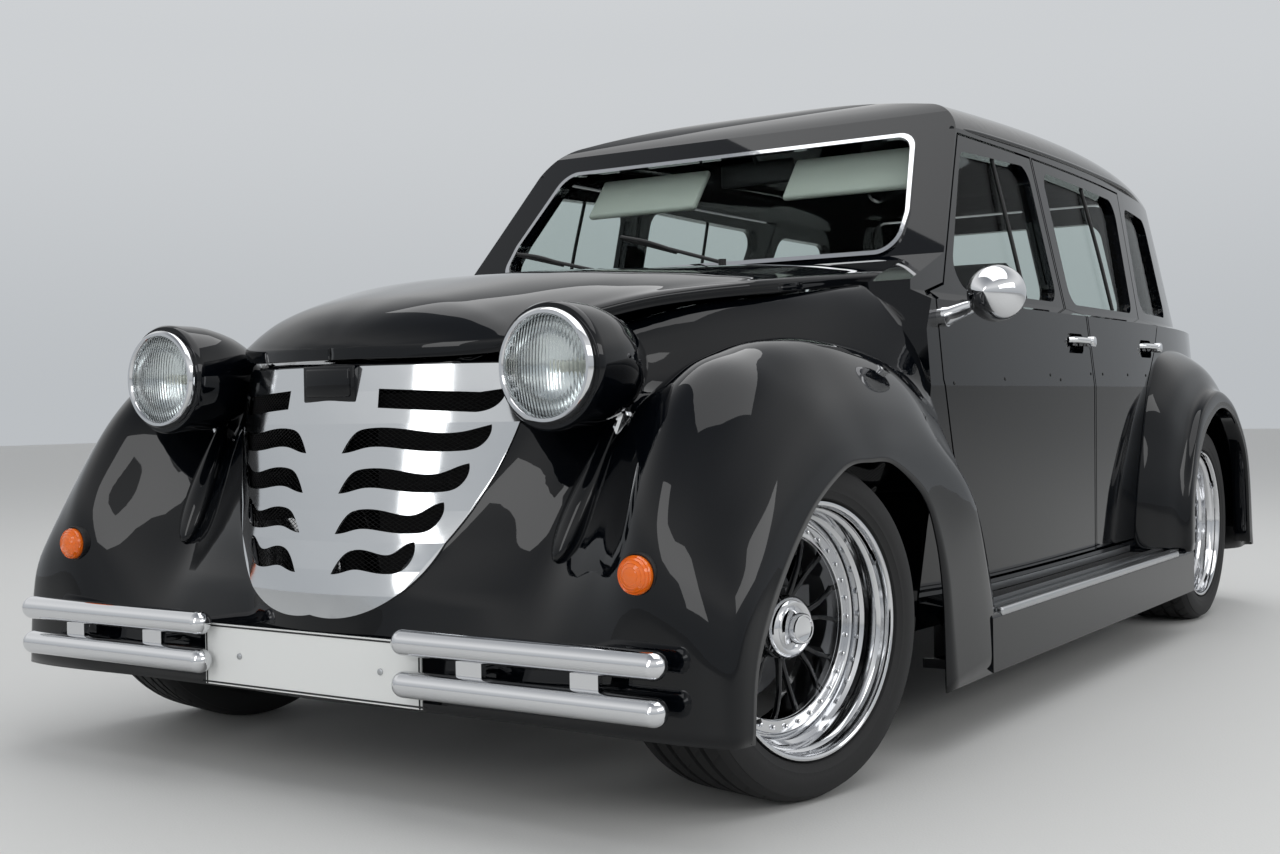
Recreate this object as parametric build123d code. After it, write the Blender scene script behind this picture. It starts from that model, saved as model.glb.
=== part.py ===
"""Small five-door hatchback with pontoon wings, round lamp pods and a polished shield grille.

Frame: X points forward, Y to the car's left, Z up; millimetres.
The origin lies on the ground under the middle of the car's bounding box.
"""
from build123d import *
from math import asin, cos, radians, sin
import os

# Layout of the running gear
FRONT_AXLE_X = 1300
WHEELBASE = 2425
REAR_AXLE_X = FRONT_AXLE_X - WHEELBASE
WHEEL_Y = 690
AXLE_Z = 283
TYRE_RADIUS = 283
TYRE_WIDTH = 215
KINGPIN_Y = 560
STEER_AT_REST = -12
STEER_SWEEP = (-30, -22.5, -15, 15, 22.5, 30)
TYRE_CLEARANCE = 8

# Wheel
RIM_WIDTH = 200
RIM_FLANGE_RADIUS = 214
RIM_BEAD_RADIUS = 203
RIM_WALL = 6
LIP_DEPTH = 78
SPOKE_PAIRS = 8
SPOKE_WIDTH = 9
SPOKE_DEPTH = 20
SPOKE_SPREAD = 10
HUB_RADIUS = 52
CENTRE_RING_RADIUS = 176
CENTRE_RING_INNER = 158
CAP_RADIUS = 46
CAP_TIP_RADIUS = 27
CAP_LENGTH = 46

# Body shell
WALL = 36
ROOF_WALL = 26
SILL_Z = 200
CREASE_Z = 688
BELT_Z = 862
GLASS_Z = 884
SCREEN_FOOT_X = 500
SCREEN_FOOT_Z = 975
SCREEN_HEAD_X = 259
SCREEN_HEAD_Z = 1284
GATE_TOP_X = -1500
GATE_BELT_X = -1600
GATE_FOOT_X = -1690
PANEL_GAP = 6
SEAT_GAP = 0.3
FLOOR_Z = 205
FLOOR_WALL = 15
BOOT_FLOOR_Z = 360
BOOT_STEP_X = -780

# Sections of the cabin from the scuttle to the tail
CABIN_SECTIONS = (
    # x, sill_y, crease_y, belt_y, glass_y, gutter_y, gutter_z, shoulder_z, crown_z
    (760, 700, 742, 730, 680, 590, 1265, 1330, 1375),
    (100, 725, 755, 745, 690, 600, 1285, 1362, 1405),
    (-500, 725, 755, 745, 690, 602, 1292, 1376, 1422),
    (-1100, 700, 730, 718, 664, 578, 1284, 1368, 1412),
    (-1720, 590, 618, 604, 558, 486, 1255, 1330, 1366),
)
SHOULDER_INSET = 95

# Front body between the scuttle and the nose
NOSE_SECTIONS = (
    # x, bottom_y, side_y, side_z, edge_y, edge_z
    (760, 700, 730, 845, 600, 925),
    (1010, 432, 622, 760, 532, 890),
    (1300, 432, 510, 670, 428, 850),
    (1520, 432, 432, 600, 328, 772),
    (1760, 432, 432, 600, 328, 772),
)
# Front of the nose, round in plan: level slices from the apron to the bonnet lip
NOSE_FRONT = (
    # z, centre_x, edge_x, edge_y, valley_x
    (100, 1708, 1698, 160, 1700),
    (158, 1713, 1703, 160, 1702),
    (250, 1718, 1698, 158, 1684),
    (343, 1713, 1685, 178, 1645),
    (384, 1707, 1664, 208, 1615),
    (432, 1698, 1642, 246, 1585),
    (485, 1690, 1612, 276, 1557),
    (548, 1681, 1583, 309, 1523),
    (634, 1668, 1552, 342, 1475),
    (690, 1657, 1550, 330, 1420),
    (742, 1648, 1549, 315, 1385),
    (810, 1540, 1500, 300, 1350),
)
VALLEY_Y = 470
NOSE_WALL = 16
CAVITY_Y = 430
NOSE_BOTTOM_Z = 156
NOSE_BACK_X = 1470

# Bonnet
BONNET_REAR_X = 545
BONNET_SECTIONS = (
    # x, edge_y, edge_z, crown_z
    (BONNET_REAR_X, 585, 932, 970),
    (1010, 532, 890, 934),
    (1300, 428, 852, 906),
    (1440, 366, 814, 880),
    (1520, 335, 786, 862),
    (1556, 316, 774, 850),
    (1600, 238, 768, 830),
    (1630, 160, 766, 808),
    (1646, 94, 766, 788),
    (1652, 40, 766, 774),
)
BONNET_WALL = 18
BONNET_DROP = 8

# Pontoon wings: radial sections about a point near the axle
WING_Z = 210
ARCH_RADIUS = 352
WING_INNER_Y = 444
FLARE_Y = 842
FLARE_STEP = 18
FRONT_WING_SECTIONS = (
    # angle, inner_r, crown_r, crown_y, ridge_r
    (-8, 440, 432, 660, 398),
    (18, 402, 436, 665, 402),
    (40, 404, 452, 668, 398),
    (62, 440, 512, 672, 392),
    (90, 490, 561, 676, 392),
    (122, 560, 628, 690, 446),
    (150, 600, 655, 716, 540),
    (187, 600, 640, 740, 580),
)
REAR_WING_X = -1140
REAR_WING_Z = 285
REAR_ARCH_RADIUS = 338
REAR_FLARE_Y = 850
REAR_WING_SECTIONS = (
    # angle, inner_r, crown_r, crown_y, ridge_r
    (-8, 470, 482, 730, 392),
    (14, 480, 492, 730, 392),
    (30, 510, 524, 728, 394),
    (43, 560, 582, 724, 402),
    (58, 560, 586, 716, 408),
    (80, 490, 527, 706, 400),
    (100, 470, 504, 700, 388),
    (122, 440, 474, 696, 380),
    (151, 460, 489, 700, 380),
    (194, 510, 524, 706, 400),
)
DOOR_TO_WING = 14
WHEELHOUSE_RADIUS = 326
WHEELHOUSE_INNER_Y = 505
SKIN = 12

# Doors and windows, as side-view outlines
FRONT_DOOR = ((706, 868), (700, 700), (640, 560), (500, 272), (-296, 272), (-196, 868),
              (-196, 1268), (260, 1268), (543, 905))
WING_EDGE = [(REAR_WING_X + (row[2] + DOOR_TO_WING) * cos(radians(row[0])),
              REAR_WING_Z + (row[2] + DOOR_TO_WING) * sin(radians(row[0])))
             for row in REAR_WING_SECTIONS if 0 < row[0] < 70]
REAR_DOOR = ((-208, 868), (-308, 272), (WING_EDGE[0][0], 272), *WING_EDGE, (-880, 868), (-985, 1262),
             (-208, 1268))
FRONT_WINDOW = ((508, 897), (268, 1226), (-158, 1240), (-158, 897))
REAR_WINDOW = ((-262, 897), (-262, 1240), (-905, 1228), (-822, 897))
QUARTER_WINDOW = ((-930, 905), (-1026, 1222), (-1346, 1214), (-1330, 905))
WINDOW_CORNER = 48
GLASS_THICK = 5
GATE_WINDOW_HALF = 420
GATE_HALF = 500
GATE_BOTTOM_Z = 420
TAIL_DEPTH = 60
POST_Y = 648

# Grille plate
GRILLE_PLATE_THICK = 5
MESH_THICK = 4
GRILLE_TOP_Z = 734
GRILLE_TOP_HALF = 312
GRILLE_WIDE_HALF = 342
GRILLE_WIDE_Z = 640
GRILLE_FOOT_Z = 306
PLAQUE_FRONT_X = 1669
SLOT_ROWS = (
    # inner_y, outer_y, z of the inner tip, rise to the outer tip
    (43, 302, 578, 52),
    (43, 272, 509, 56),
    (43, 237, 440, 60),
    (43, 197, 372, 62),
)
TOP_SLOT = ((107, 694), (109, 661), (276, 651))
TOP_SLOT_TIP = ((308, 664), (319, 691), (280, 685))

# Lamps
LAMP_X = 1640
LAMP_Y = 465
LAMP_Z = 723
LAMP_LENS_RADIUS = 84
LAMP_RIM_RADIUS = 93
LAMP_POD_RADIUS = 105
LAMP_POD_LENGTH = 235
LAMP_POD_PROFILE = (
    # radius, distance behind the lens face
    (105, 0),
    (105, -58),
    (97, -112),
    (80, -162),
    (54, -205),
)
LAMP_SEAT_X = 1548
LAMP_STEM_REAR_X = 1480
LAMP_STEM_FRONT_X = 1560
INDICATOR_X = 1657
INDICATOR_Y = 670
INDICATOR_Z = 404
INDICATOR_RADIUS = 35

# Bumpers and plates
BUMPER_TUBE_RADIUS = 22
BUMPER_Z = (280, 212)
BUMPER_INNER_Y = 247
BUMPER_OUTER_Y = 730
BUMPER_X = 1752
REAR_BUMPER_X = -1752
PLATE_WIDTH = 520
PLATE_HEIGHT = 110
PLATE_THICK = 3
BUMPER_STAY_Y = (380, 604)
BUMPER_STAY_Z = 246
FRONT_PLATE_Z = 222
REAR_PLATE_Z = 520
TAIL_LAMP_X = -1640
TAIL_LAMP_BASE = 40
INDICATOR_BASE = 45
TAIL_LAMP_Y = 560
TAIL_LAMP_Z = (560, 640)
TAIL_LAMP_RADIUS = 34

# Windscreen opening
SCREEN_FOOT_HALF = 548
SCREEN_MID_HALF = 546
SCREEN_TOP_HALF = 496
SCREEN_LOW_Z = 988
SCREEN_MID_Z = 1080
SCREEN_TOP_Z = 1276
SCREEN_CORNER = 46
TRIM_OUTER = 7
TRIM_INNER = -3
WIPERS = (
    # pivot_y, pivot_z, tip_y, tip_z
    (130, 986, -150, 1062),
    (-214, 986, -470, 1044),
)
WIPER_X = 526

# Brakes, links, engine and exhaust
DISC_RADIUS = 134
DISC_THICK = 10
DISC_Y = 620
ARM_Y = 540
KINGPIN_RADIUS = 20
RAIL_Y = 330
RAIL_LOW_Z = 155
TORSION_X = -700
TORSION_Z = 175
ENGINE_Z = 300
EXHAUST_Y = 150
TAIL_PIPE_X = -1730

# Door furniture
HANDLE_LENGTH = 100
HANDLE_POCKET = 14
HANDLE_X = {"front": -100, "rear": -720}
HANDLE_Y = {"front": 748, "rear": 738}
HANDLE_Z = 792
MIRROR_X = 705
MIRROR_Y = 850
MIRROR_Z = 868
MIRROR_FOOT_Z = 826

# Cabin fittings
DASH_HALF = 590
STEERING_X = 130
STEERING_Y = 330
STEERING_Z = 838
STEERING_RADIUS = 182
COLUMN_LENGTH = 420
SEAT_Y = 320
SEAT_Z = 330
SEAT_REAR_X = -330
BENCH_REAR_X = -950
BENCH_HALF = 484

# Running boards
BOARD_FRONT_X = 700
BOARD_REAR_X = -830
BOARD_LOW_Z = 118
BOARD_TOP_Z = 236
BOARD_INNER_Y = 690


def side_prism(points, low_y, high_y, corner=0):
    """Solid with the given outline in side view, between two Y planes."""
    face = make_face(Polyline(*points, close=True))
    if corner:
        face = fillet(face.vertices(), corner)
    plane = Plane(origin=(0, high_y, 0), x_dir=(1, 0, 0), z_dir=(0, -1, 0))
    return extrude(plane * face, amount=high_y - low_y, dir=(0, -1, 0))


def front_prism(points, low_x, high_x, corner=0):
    """Solid with the given outline in front view (Y, Z), between two X planes."""
    face = make_face(Polyline(*points, close=True))
    if corner:
        face = fillet(face.vertices(), corner)
    plane = Plane(origin=(low_x, 0, 0), x_dir=(0, 1, 0), z_dir=(1, 0, 0))
    return extrude(plane * face, amount=high_x - low_x, dir=(1, 0, 0))


def box(low, high):
    """Box between two corners."""
    size = [b - a for a, b in zip(low, high)]
    middle = [(a + b) / 2 for a, b in zip(low, high)]
    return Pos(*middle) * Box(*size)


def dome(radius, low, high):
    """Arc of a spherical cap, from its rim at height low to its top on the axis at height high."""
    rise = high - low
    ball = (radius ** 2 + rise ** 2) / (2 * rise)
    half_turn = asin(radius / ball) / 2
    return ThreePointArc((radius, low), (ball * sin(half_turn), high - ball + ball * cos(half_turn)), (0, high))


def tube(start, end, radius):
    """Round bar between two points."""
    axis = Vector(*end) - Vector(*start)
    plane = Plane(origin=start, z_dir=axis)
    return plane * Cylinder(radius, axis.length, align=(Align.CENTER, Align.CENTER, Align.MIN))


def across(radius, centre_x, centre_z, low_y, high_y):
    """Cylinder along Y."""
    return tube((centre_x, low_y, centre_z), (centre_x, high_y, centre_z), radius)


def mirrored(shape):
    """The same shape on the car's right side."""
    return mirror(shape, about=Plane.XZ)


def station(x):
    """Plane across the car at x, its own axes along Y and Z."""
    return Plane(origin=(x, 0, 0), x_dir=(0, 1, 0), z_dir=(1, 0, 0))


def screen_x(z, inset=0):
    """X of the windscreen plane at height z, moved in by inset along X."""
    slope = (SCREEN_HEAD_X - SCREEN_FOOT_X) / (SCREEN_HEAD_Z - SCREEN_FOOT_Z)
    return SCREEN_FOOT_X + slope * (z - SCREEN_FOOT_Z) - inset


def cabin_section(row, wall, roof_wall, drop):
    """Closed cross-section of the cabin; wall pulls the sides in, roof_wall the roof down."""
    x, sill_y, crease_y, belt_y, glass_y, gutter_y, gutter_z, shoulder_z, crown_z = row
    side = [(sill_y - wall, SILL_Z - drop), (crease_y - wall, CREASE_Z), (belt_y - wall, BELT_Z - drop / 4),
            (glass_y - wall, GLASS_Z - drop / 4), (gutter_y - wall, gutter_z - roof_wall / 2)]
    shoulder = (gutter_y - SHOULDER_INSET - wall / 2, shoulder_z - roof_wall)
    bend = (gutter_y - SHOULDER_INSET * 0.34 - wall * 0.86,
            gutter_z + (shoulder_z - gutter_z) * 0.62 - roof_wall * 0.8)
    left = Polyline(*side)
    other = Polyline(*[(-y, z) for y, z in side])
    curve = left + other + Line(side[0], (-side[0][0], side[0][1]))
    curve += ThreePointArc(side[-1], bend, shoulder)
    curve += ThreePointArc(shoulder, (0, crown_z - roof_wall), (-shoulder[0], shoulder[1]))
    curve += ThreePointArc((-side[-1][0], side[-1][1]), (-bend[0], bend[1]), (-shoulder[0], shoulder[1]))
    return station(x) * make_face(curve)


def cabin_solid(wall, roof_wall, drop):
    """Cabin from sill to roof, cut at the windscreen plane and the tail."""
    body = loft([cabin_section(row, wall, roof_wall, drop) for row in CABIN_SECTIONS])
    front = wall * 1.1
    head_z = 1330 - roof_wall
    low_z = SILL_Z - drop - 10
    outline = Polyline(
        (GATE_FOOT_X + wall, low_z), (760 - wall * 0.6, low_z), (760 - wall * 0.6, 800),
        (screen_x(905, front) + 150, 905 - drop / 4), (screen_x(SCREEN_FOOT_Z, front), SCREEN_FOOT_Z - drop / 4),
        (screen_x(head_z, front), head_z))
    roof_front = (screen_x(head_z, front), head_z)
    roof_mid = (40 - wall * 0.3, 1408 - roof_wall)
    outline += ThreePointArc(roof_front, (150 - front * 0.8, 1384 - roof_wall), roof_mid)
    outline += ThreePointArc(roof_mid, (-500, 1440 - roof_wall), (GATE_TOP_X + 110, 1392 - roof_wall))
    outline += ThreePointArc((GATE_TOP_X + 110, 1392 - roof_wall), (GATE_TOP_X + 34 + wall * 0.7, 1370 - roof_wall),
                             (GATE_TOP_X + wall, 1310 - roof_wall))
    outline += Polyline((GATE_TOP_X + wall, 1310 - roof_wall), (GATE_BELT_X + wall, BELT_Z),
                        (GATE_FOOT_X + wall, 470), (GATE_FOOT_X + wall, low_z))
    plane = Plane(origin=(0, 900, 0), x_dir=(1, 0, 0), z_dir=(0, -1, 0))
    return body & extrude(plane * make_face(outline), amount=1800, dir=(0, -1, 0))


def nose_body(wall):
    """Front body from the scuttle forward, before its front is rounded."""
    faces = []
    for x, bottom_y, side_y, side_z, edge_y, edge_z in NOSE_SECTIONS:
        low = NOSE_BOTTOM_Z - wall
        points = ((bottom_y - wall, low), (bottom_y - wall, min(side_z, 470)), (side_y - wall, side_z - wall),
                  (edge_y - wall, edge_z + wall))
        outline = Polyline(*points, *[(-y, z) for y, z in reversed(points)], close=True)
        faces.append(station(x) * make_face(outline))
    return loft(faces, ruled=True)


def nose_solid(wall):
    """Front body with its rounded front, which carries the grille plate."""
    return nose_body(wall) & (nose_form(-wall) + box((700, -900, NOSE_BOTTOM_Z - 50), (NOSE_BACK_X, 900, 1000)))


def nose_form(ahead):
    """Block behind the front surface of the nose, that surface moved ahead by some millimetres."""
    faces = []
    for z, centre_x, edge_x, edge_y, valley_x in NOSE_FRONT:
        edge = (edge_x + ahead, edge_y)
        valley = (valley_x + ahead, VALLEY_Y)
        outline = ThreePointArc(edge, (centre_x + ahead, 0), (edge[0], -edge_y))
        outline += Polyline((edge[0], -edge_y), (valley[0], -VALLEY_Y), (1200, -VALLEY_Y), (1200, VALLEY_Y),
                            valley, edge)
        faces.append(Pos(0, 0, z) * make_face(outline))
    return loft(faces, ruled=True)


def bonnet_solid(inset, lift=0, drop=0, grow=0):
    """Bonnet as a closed form; inset pulls the surface in, grow pushes it out."""
    faces = []
    for number, (x, edge_y, edge_z, crown_z) in enumerate(blended(BONNET_SECTIONS, 1)):
        if number == 0:
            x -= grow
        edge = (edge_y - inset + grow, edge_z - inset + lift)
        crown = (0, crown_z - inset + lift)
        low = edge_z - BONNET_WALL - drop
        curve = Polyline((edge[0], edge[1]), (edge[0], low), (-edge[0], low), (-edge[0], edge[1]))
        curve += ThreePointArc((-edge[0], edge[1]), crown, edge)
        faces.append(station(x) * make_face(curve))
    return loft(faces, ruled=True)


def blended(rows, count):
    """Rows of a section table with count more between each pair, on a smooth curve through them."""
    result = []
    last = len(rows) - 1
    for number in range(last):
        before = rows[max(number - 1, 0)]
        start = rows[number]
        end = rows[number + 1]
        after = rows[min(number + 2, last)]
        for step in range(count + 1):
            t = step / (count + 1)
            weights = ((-t + 2 * t * t - t ** 3) / 2, (2 - 5 * t * t + 3 * t ** 3) / 2,
                       (t + 4 * t * t - 3 * t ** 3) / 2, (t ** 3 - t * t) / 2)
            result.append(tuple(sum(w * v for w, v in zip(weights, values))
                                for values in zip(before, start, end, after)))
    result.append(tuple(rows[-1]))
    return result


def pontoon(centre_x, centre_z, arch_radius, flare_y, rows, between=1):
    """Wing swept round the wheel: one radial section for each row, outer flare lip included."""
    faces = []
    for angle, inner_r, crown_r, crown_y, ridge_r in blended(rows, between):
        turn = radians(angle)
        plane = Plane(origin=(centre_x, 0, centre_z), x_dir=(cos(turn), 0, sin(turn)),
                      z_dir=(sin(turn), 0, -cos(turn)))
        side = 1 if plane.y_dir.Y > 0 else -1
        inner = (inner_r, side * WING_INNER_Y)
        crown = (crown_r, side * crown_y)
        ridge = (ridge_r, side * (flare_y - FLARE_STEP))
        curve = Polyline((ridge_r, side * (flare_y - FLARE_STEP)), (ridge_r - 12, side * flare_y),
                         (arch_radius, side * flare_y), (arch_radius, side * WING_INNER_Y), inner)
        curve += ThreePointArc(inner, crown, ridge)
        faces.append(plane * make_face(curve))
    return loft(faces, ruled=True)


def wheel_plane(x, side):
    """Frame of a wheel: its own Z points out of the car along the axle."""
    return Plane(origin=(x, side * WHEEL_Y, AXLE_Z), x_dir=(1, 0, 0), z_dir=(0, side, 0))


def tyre_solid():
    half = TYRE_WIDTH / 2
    bead_z = RIM_WIDTH / 2 - 16
    profile = ((RIM_BEAD_RADIUS + 0.5, bead_z), (RIM_FLANGE_RADIUS + 1, bead_z + 4),
               (RIM_FLANGE_RADIUS + 2, bead_z + 14), (RIM_BEAD_RADIUS + 40, half), (TYRE_RADIUS - 22, half - 7),
               (TYRE_RADIUS, half - 30))
    points = [*profile, *[(r, -z) for r, z in reversed(profile)]]
    return revolve(Plane.XZ * make_face(Polyline(*points, close=True)), axis=Axis.Z)


def rim_solid():
    half = RIM_WIDTH / 2
    step_z = half - LIP_DEPTH
    outer = ((RIM_FLANGE_RADIUS, half), (RIM_FLANGE_RADIUS, half - 10), (RIM_BEAD_RADIUS, half - 14),
             (RIM_BEAD_RADIUS - 4, step_z), (RIM_BEAD_RADIUS - 22, step_z - 30), (RIM_BEAD_RADIUS - 22, 40 - half),
             (RIM_BEAD_RADIUS, 14 - half), (RIM_FLANGE_RADIUS, 10 - half), (RIM_FLANGE_RADIUS, -half))
    inner = ((RIM_BEAD_RADIUS - 8, -half), (RIM_BEAD_RADIUS - 30, 40 - half), (RIM_BEAD_RADIUS - 30, step_z - 12),
             (CENTRE_RING_INNER, step_z - 12), (CENTRE_RING_INNER, step_z), (RIM_BEAD_RADIUS - 16, step_z),
             (RIM_BEAD_RADIUS - 8, half - 20), (RIM_FLANGE_RADIUS - 6, half))
    return revolve(Plane.XZ * make_face(Polyline(*outer, *inner, close=True)), axis=Axis.Z)


def centre_solid():
    face_z = RIM_WIDTH / 2 - LIP_DEPTH
    ring = Cylinder(CENTRE_RING_RADIUS, 8, align=(Align.CENTER, Align.CENTER, Align.MIN))
    ring -= Cylinder(CENTRE_RING_INNER, 8, align=(Align.CENTER, Align.CENTER, Align.MIN))
    hub = Pos(0, 0, -SPOKE_DEPTH) * Cylinder(HUB_RADIUS, SPOKE_DEPTH + 8,
                                             align=(Align.CENTER, Align.CENTER, Align.MIN))
    wheel = ring + hub
    for number in range(SPOKE_PAIRS):
        turn = number * 360 / SPOKE_PAIRS
        root = Vector(HUB_RADIUS - 10, 0, 4 - SPOKE_DEPTH / 2).rotate(Axis.Z, turn)
        for spread in (-SPOKE_SPREAD, SPOKE_SPREAD):
            end = Vector(CENTRE_RING_INNER + 8, 0, 4 - SPOKE_DEPTH / 2).rotate(Axis.Z, turn + spread)
            bar = Box((end - root).length, SPOKE_WIDTH, SPOKE_DEPTH - 8, align=(Align.MIN, Align.CENTER, Align.CENTER))
            wheel += Plane(origin=root, x_dir=end - root, z_dir=(0, 0, 1)) * bar
    wheel += Pos(0, 0, 8) * Cone(CAP_RADIUS, CAP_TIP_RADIUS, CAP_LENGTH,
                                 align=(Align.CENTER, Align.CENTER, Align.MIN))
    disc_low = DISC_Y - WHEEL_Y - face_z
    disc = Pos(0, 0, disc_low) * Cylinder(DISC_RADIUS, DISC_THICK, align=(Align.CENTER, Align.CENTER, Align.MIN))
    bell = Pos(0, 0, disc_low) * Cylinder(HUB_RADIUS - 8, -disc_low, align=(Align.CENTER, Align.CENTER, Align.MIN))
    return Pos(0, 0, face_z) * (wheel + disc + bell)


def turned(shape, side):
    """Shape turned about the kingpin to the steering angle that is stored."""
    pivot = Axis((FRONT_AXLE_X, side * KINGPIN_Y, 0), (0, 0, 1))
    return shape.rotate(pivot, STEER_AT_REST)


parts = {}

# Wheels
for end, axle_x in (("front", FRONT_AXLE_X), ("rear", REAR_AXLE_X)):
    for name, side in (("left", 1), ("right", -1)):
        tyre = wheel_plane(axle_x, side) * tyre_solid()
        rim = wheel_plane(axle_x, side) * rim_solid()
        centre = wheel_plane(axle_x, side) * centre_solid()
        if end == "front":
            tyre, rim, centre = (turned(shape, side) for shape in (tyre, rim, centre))
        parts[f"tyre_{end}_{name}"] = tyre
        parts[f"wheel_{end}_{name}"] = rim + centre

# Cabin shell, then its panels
cabin = cabin_solid(0, 0, 0)
shell = cabin - cabin_solid(WALL, ROOF_WALL, 60)
REACH = 1100
half_left = box((-2000, 0, 0), (1000, REACH, 2000))

roof_zone = side_prism(((284, 1279), (-1900, 1279), (-1900, 1700), (284, 1700)), -REACH, REACH)
front_zone = side_prism(((screen_x(1279, 54), 1279), (screen_x(905, 54), 905), (770, 905), (770, 1279)),
                        -REACH, REACH)


def gate_zone(grow):
    """Stretch of the shell that the tailgate takes up."""
    low = GATE_BOTTOM_Z - grow
    half = GATE_HALF + grow
    points = ((-half, low), (half, low), (half * 0.84, 1290 + grow), (-half * 0.84, 1290 + grow))
    return front_prism(points, -1900, GATE_TOP_X + 60 + grow, 60)


doors = {"front": FRONT_DOOR, "rear": REAR_DOOR}
windows = {"front": FRONT_WINDOW, "rear": REAR_WINDOW}


def grown(points, distance, low_y, high_y):
    """Side-view outline moved out by a distance, as a solid between two Y planes."""
    face = offset(make_face(Polyline(*points, close=True)), distance, kind=Kind.INTERSECTION)
    plane = Plane(origin=(0, high_y, 0), x_dir=(1, 0, 0), z_dir=(0, -1, 0))
    return extrude(plane * face, amount=high_y - low_y, dir=(0, -1, 0))


fixed = shell - gate_zone(PANEL_GAP)
wheelhouse_cut = across(WHEELHOUSE_RADIUS, REAR_AXLE_X, AXLE_Z, WHEELHOUSE_INNER_Y, REACH)
wheelhouse = across(WHEELHOUSE_RADIUS + SKIN, REAR_AXLE_X, AXLE_Z, WHEELHOUSE_INNER_Y - SKIN, 640) & box(
    (-1900, 0, SILL_Z), (0, REACH, 1000))
wheelhouse -= wheelhouse_cut
arm_notch = box((BOOT_STEP_X - 90, ARM_Y - 30, 130), (TORSION_X + 60, ARM_Y + 30, 320))
wheelhouse -= arm_notch

DOOR_INNER_Y = {"front": 562, "rear": 515}
door_solids = {}
for end in ("front", "rear"):
    inner_y = DOOR_INNER_Y[end]
    frame_cut = grown(doors[end], PANEL_GAP / 2, inner_y, REACH)
    door_zone = grown(doors[end], -PANEL_GAP / 2, inner_y + PANEL_GAP, REACH)
    window_cut = side_prism(windows[end], 400, REACH, WINDOW_CORNER)
    door = (shell & door_zone) - window_cut
    fixed -= frame_cut
    fixed -= mirrored(frame_cut)
    door_solids[end] = door - wheelhouse_cut


def handle_parts(x, z, y):
    """Pocket to cut in the door skin, and the chrome lever in it."""
    rear_x = x - HANDLE_LENGTH / 2
    front_x = x + HANDLE_LENGTH / 2
    pocket = box((rear_x - 10, y - HANDLE_POCKET, z - 24), (front_x + 10, y + 40, z + 24))
    pocket = fillet(pocket.edges().filter_by(Axis.Y), 16)
    lever = box((rear_x, y - 4, z - 6), (front_x - 14, y + 8, z + 14))
    lever += box((rear_x + 4, y - HANDLE_POCKET, z - 4), (rear_x + 26, y - 3, z + 12))
    return pocket, lever


for end in ("front", "rear"):
    pocket, lever = handle_parts(HANDLE_X[end], HANDLE_Z, HANDLE_Y[end])
    door = door_solids[end] - pocket
    skin_solids = [*door.solids(), lever]
    parts[f"door_{end}_left"] = Compound(skin_solids)
    parts[f"door_{end}_right"] = Compound([mirrored(piece) for piece in skin_solids])

quarter_cut = side_prism(QUARTER_WINDOW, 400, REACH, WINDOW_CORNER)


def screen_outline(grow):
    """Front view of the windscreen opening, moved out by grow."""
    points = ((SCREEN_FOOT_HALF + grow, SCREEN_LOW_Z - grow), (SCREEN_MID_HALF + grow, SCREEN_MID_Z),
              (SCREEN_TOP_HALF + grow, SCREEN_TOP_Z + grow))
    return (*points, *[(-y, z) for y, z in reversed(points)])


screen_cut = front_prism(screen_outline(0), 0, 900, SCREEN_CORNER)
fixed -= quarter_cut
fixed -= mirrored(quarter_cut)
roof = fixed & roof_zone
body = fixed - roof_zone
screen_frame = (body & front_zone) - screen_cut
body = body - front_zone
side = (body & half_left) - wheelhouse_cut
room = cabin_solid(WALL + SEAT_GAP, ROOF_WALL, 60)
post = side_prism(((-346, 262), (-256, 262), (-166, 846), (-256, 846)), POST_Y, REACH) & room
post += side_prism(((-305, 280), (-299, 280), (-200.6, 862), (-206.6, 862)), POST_Y, REACH) & cabin
striker = box((GATE_FOOT_X, 0, GATE_BOTTOM_Z - 40), (GATE_FOOT_X + 80, 60, GATE_BOTTOM_Z + 30)) & room
striker += box((GATE_FOOT_X + 2, 0, GATE_BOTTOM_Z - 40), (GATE_FOOT_X + 60, 60, GATE_BOTTOM_Z - 10)) & cabin
tail_zone = side_prism(((-1900, 1400), (GATE_TOP_X + TAIL_DEPTH, 1400), (GATE_TOP_X + TAIL_DEPTH, 1310),
                        (GATE_BELT_X + TAIL_DEPTH, BELT_Z), (GATE_FOOT_X + TAIL_DEPTH, 470),
                        (GATE_FOOT_X + TAIL_DEPTH, 100), (-1900, 100)), -REACH, REACH)
tail = (side & tail_zone) + striker
side = side - tail_zone + post
wheelhouse = wheelhouse & room
parts["tail_panel"] = Compound([*tail.solids(), *mirrored(tail).solids()])
parts["rear_wheelhouses"] = Compound([*wheelhouse.solids(), *mirrored(wheelhouse).solids()])
parts["roof_panel"] = roof
parts["screen_frame"] = screen_frame
tailgate = (shell & gate_zone(0)) - front_prism(
    ((-430, 905), (430, 905), (380, 1235), (-380, 1235)), -1900, -1300, 60)
parts["tailgate"] = tailgate

# Glass: panes that fill the window cuts, carried in the middle of each wall
GLASS_INSET = 14
pane_shell = cabin_solid(GLASS_INSET, GLASS_INSET, 60) - cabin_solid(GLASS_INSET + GLASS_THICK,
                                                                    GLASS_INSET + GLASS_THICK, 60)
for end in ("front", "rear"):
    pane = pane_shell & side_prism(windows[end], DOOR_INNER_Y[end] + 6, REACH, WINDOW_CORNER)
    parts[f"glass_{end}_left"] = pane
    parts[f"glass_{end}_right"] = mirrored(pane)
quarter_pane = pane_shell & quarter_cut
parts["fixed_glass"] = Compound([*quarter_pane.solids(), *mirrored(quarter_pane).solids()])
parts["tailgate_glass"] = pane_shell & front_prism(
    ((-430, 905), (430, 905), (380, 1235), (-380, 1235)), -1900, -1300, 60)
screen_pane = pane_shell & screen_cut
parts["windscreen"] = screen_pane

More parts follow.
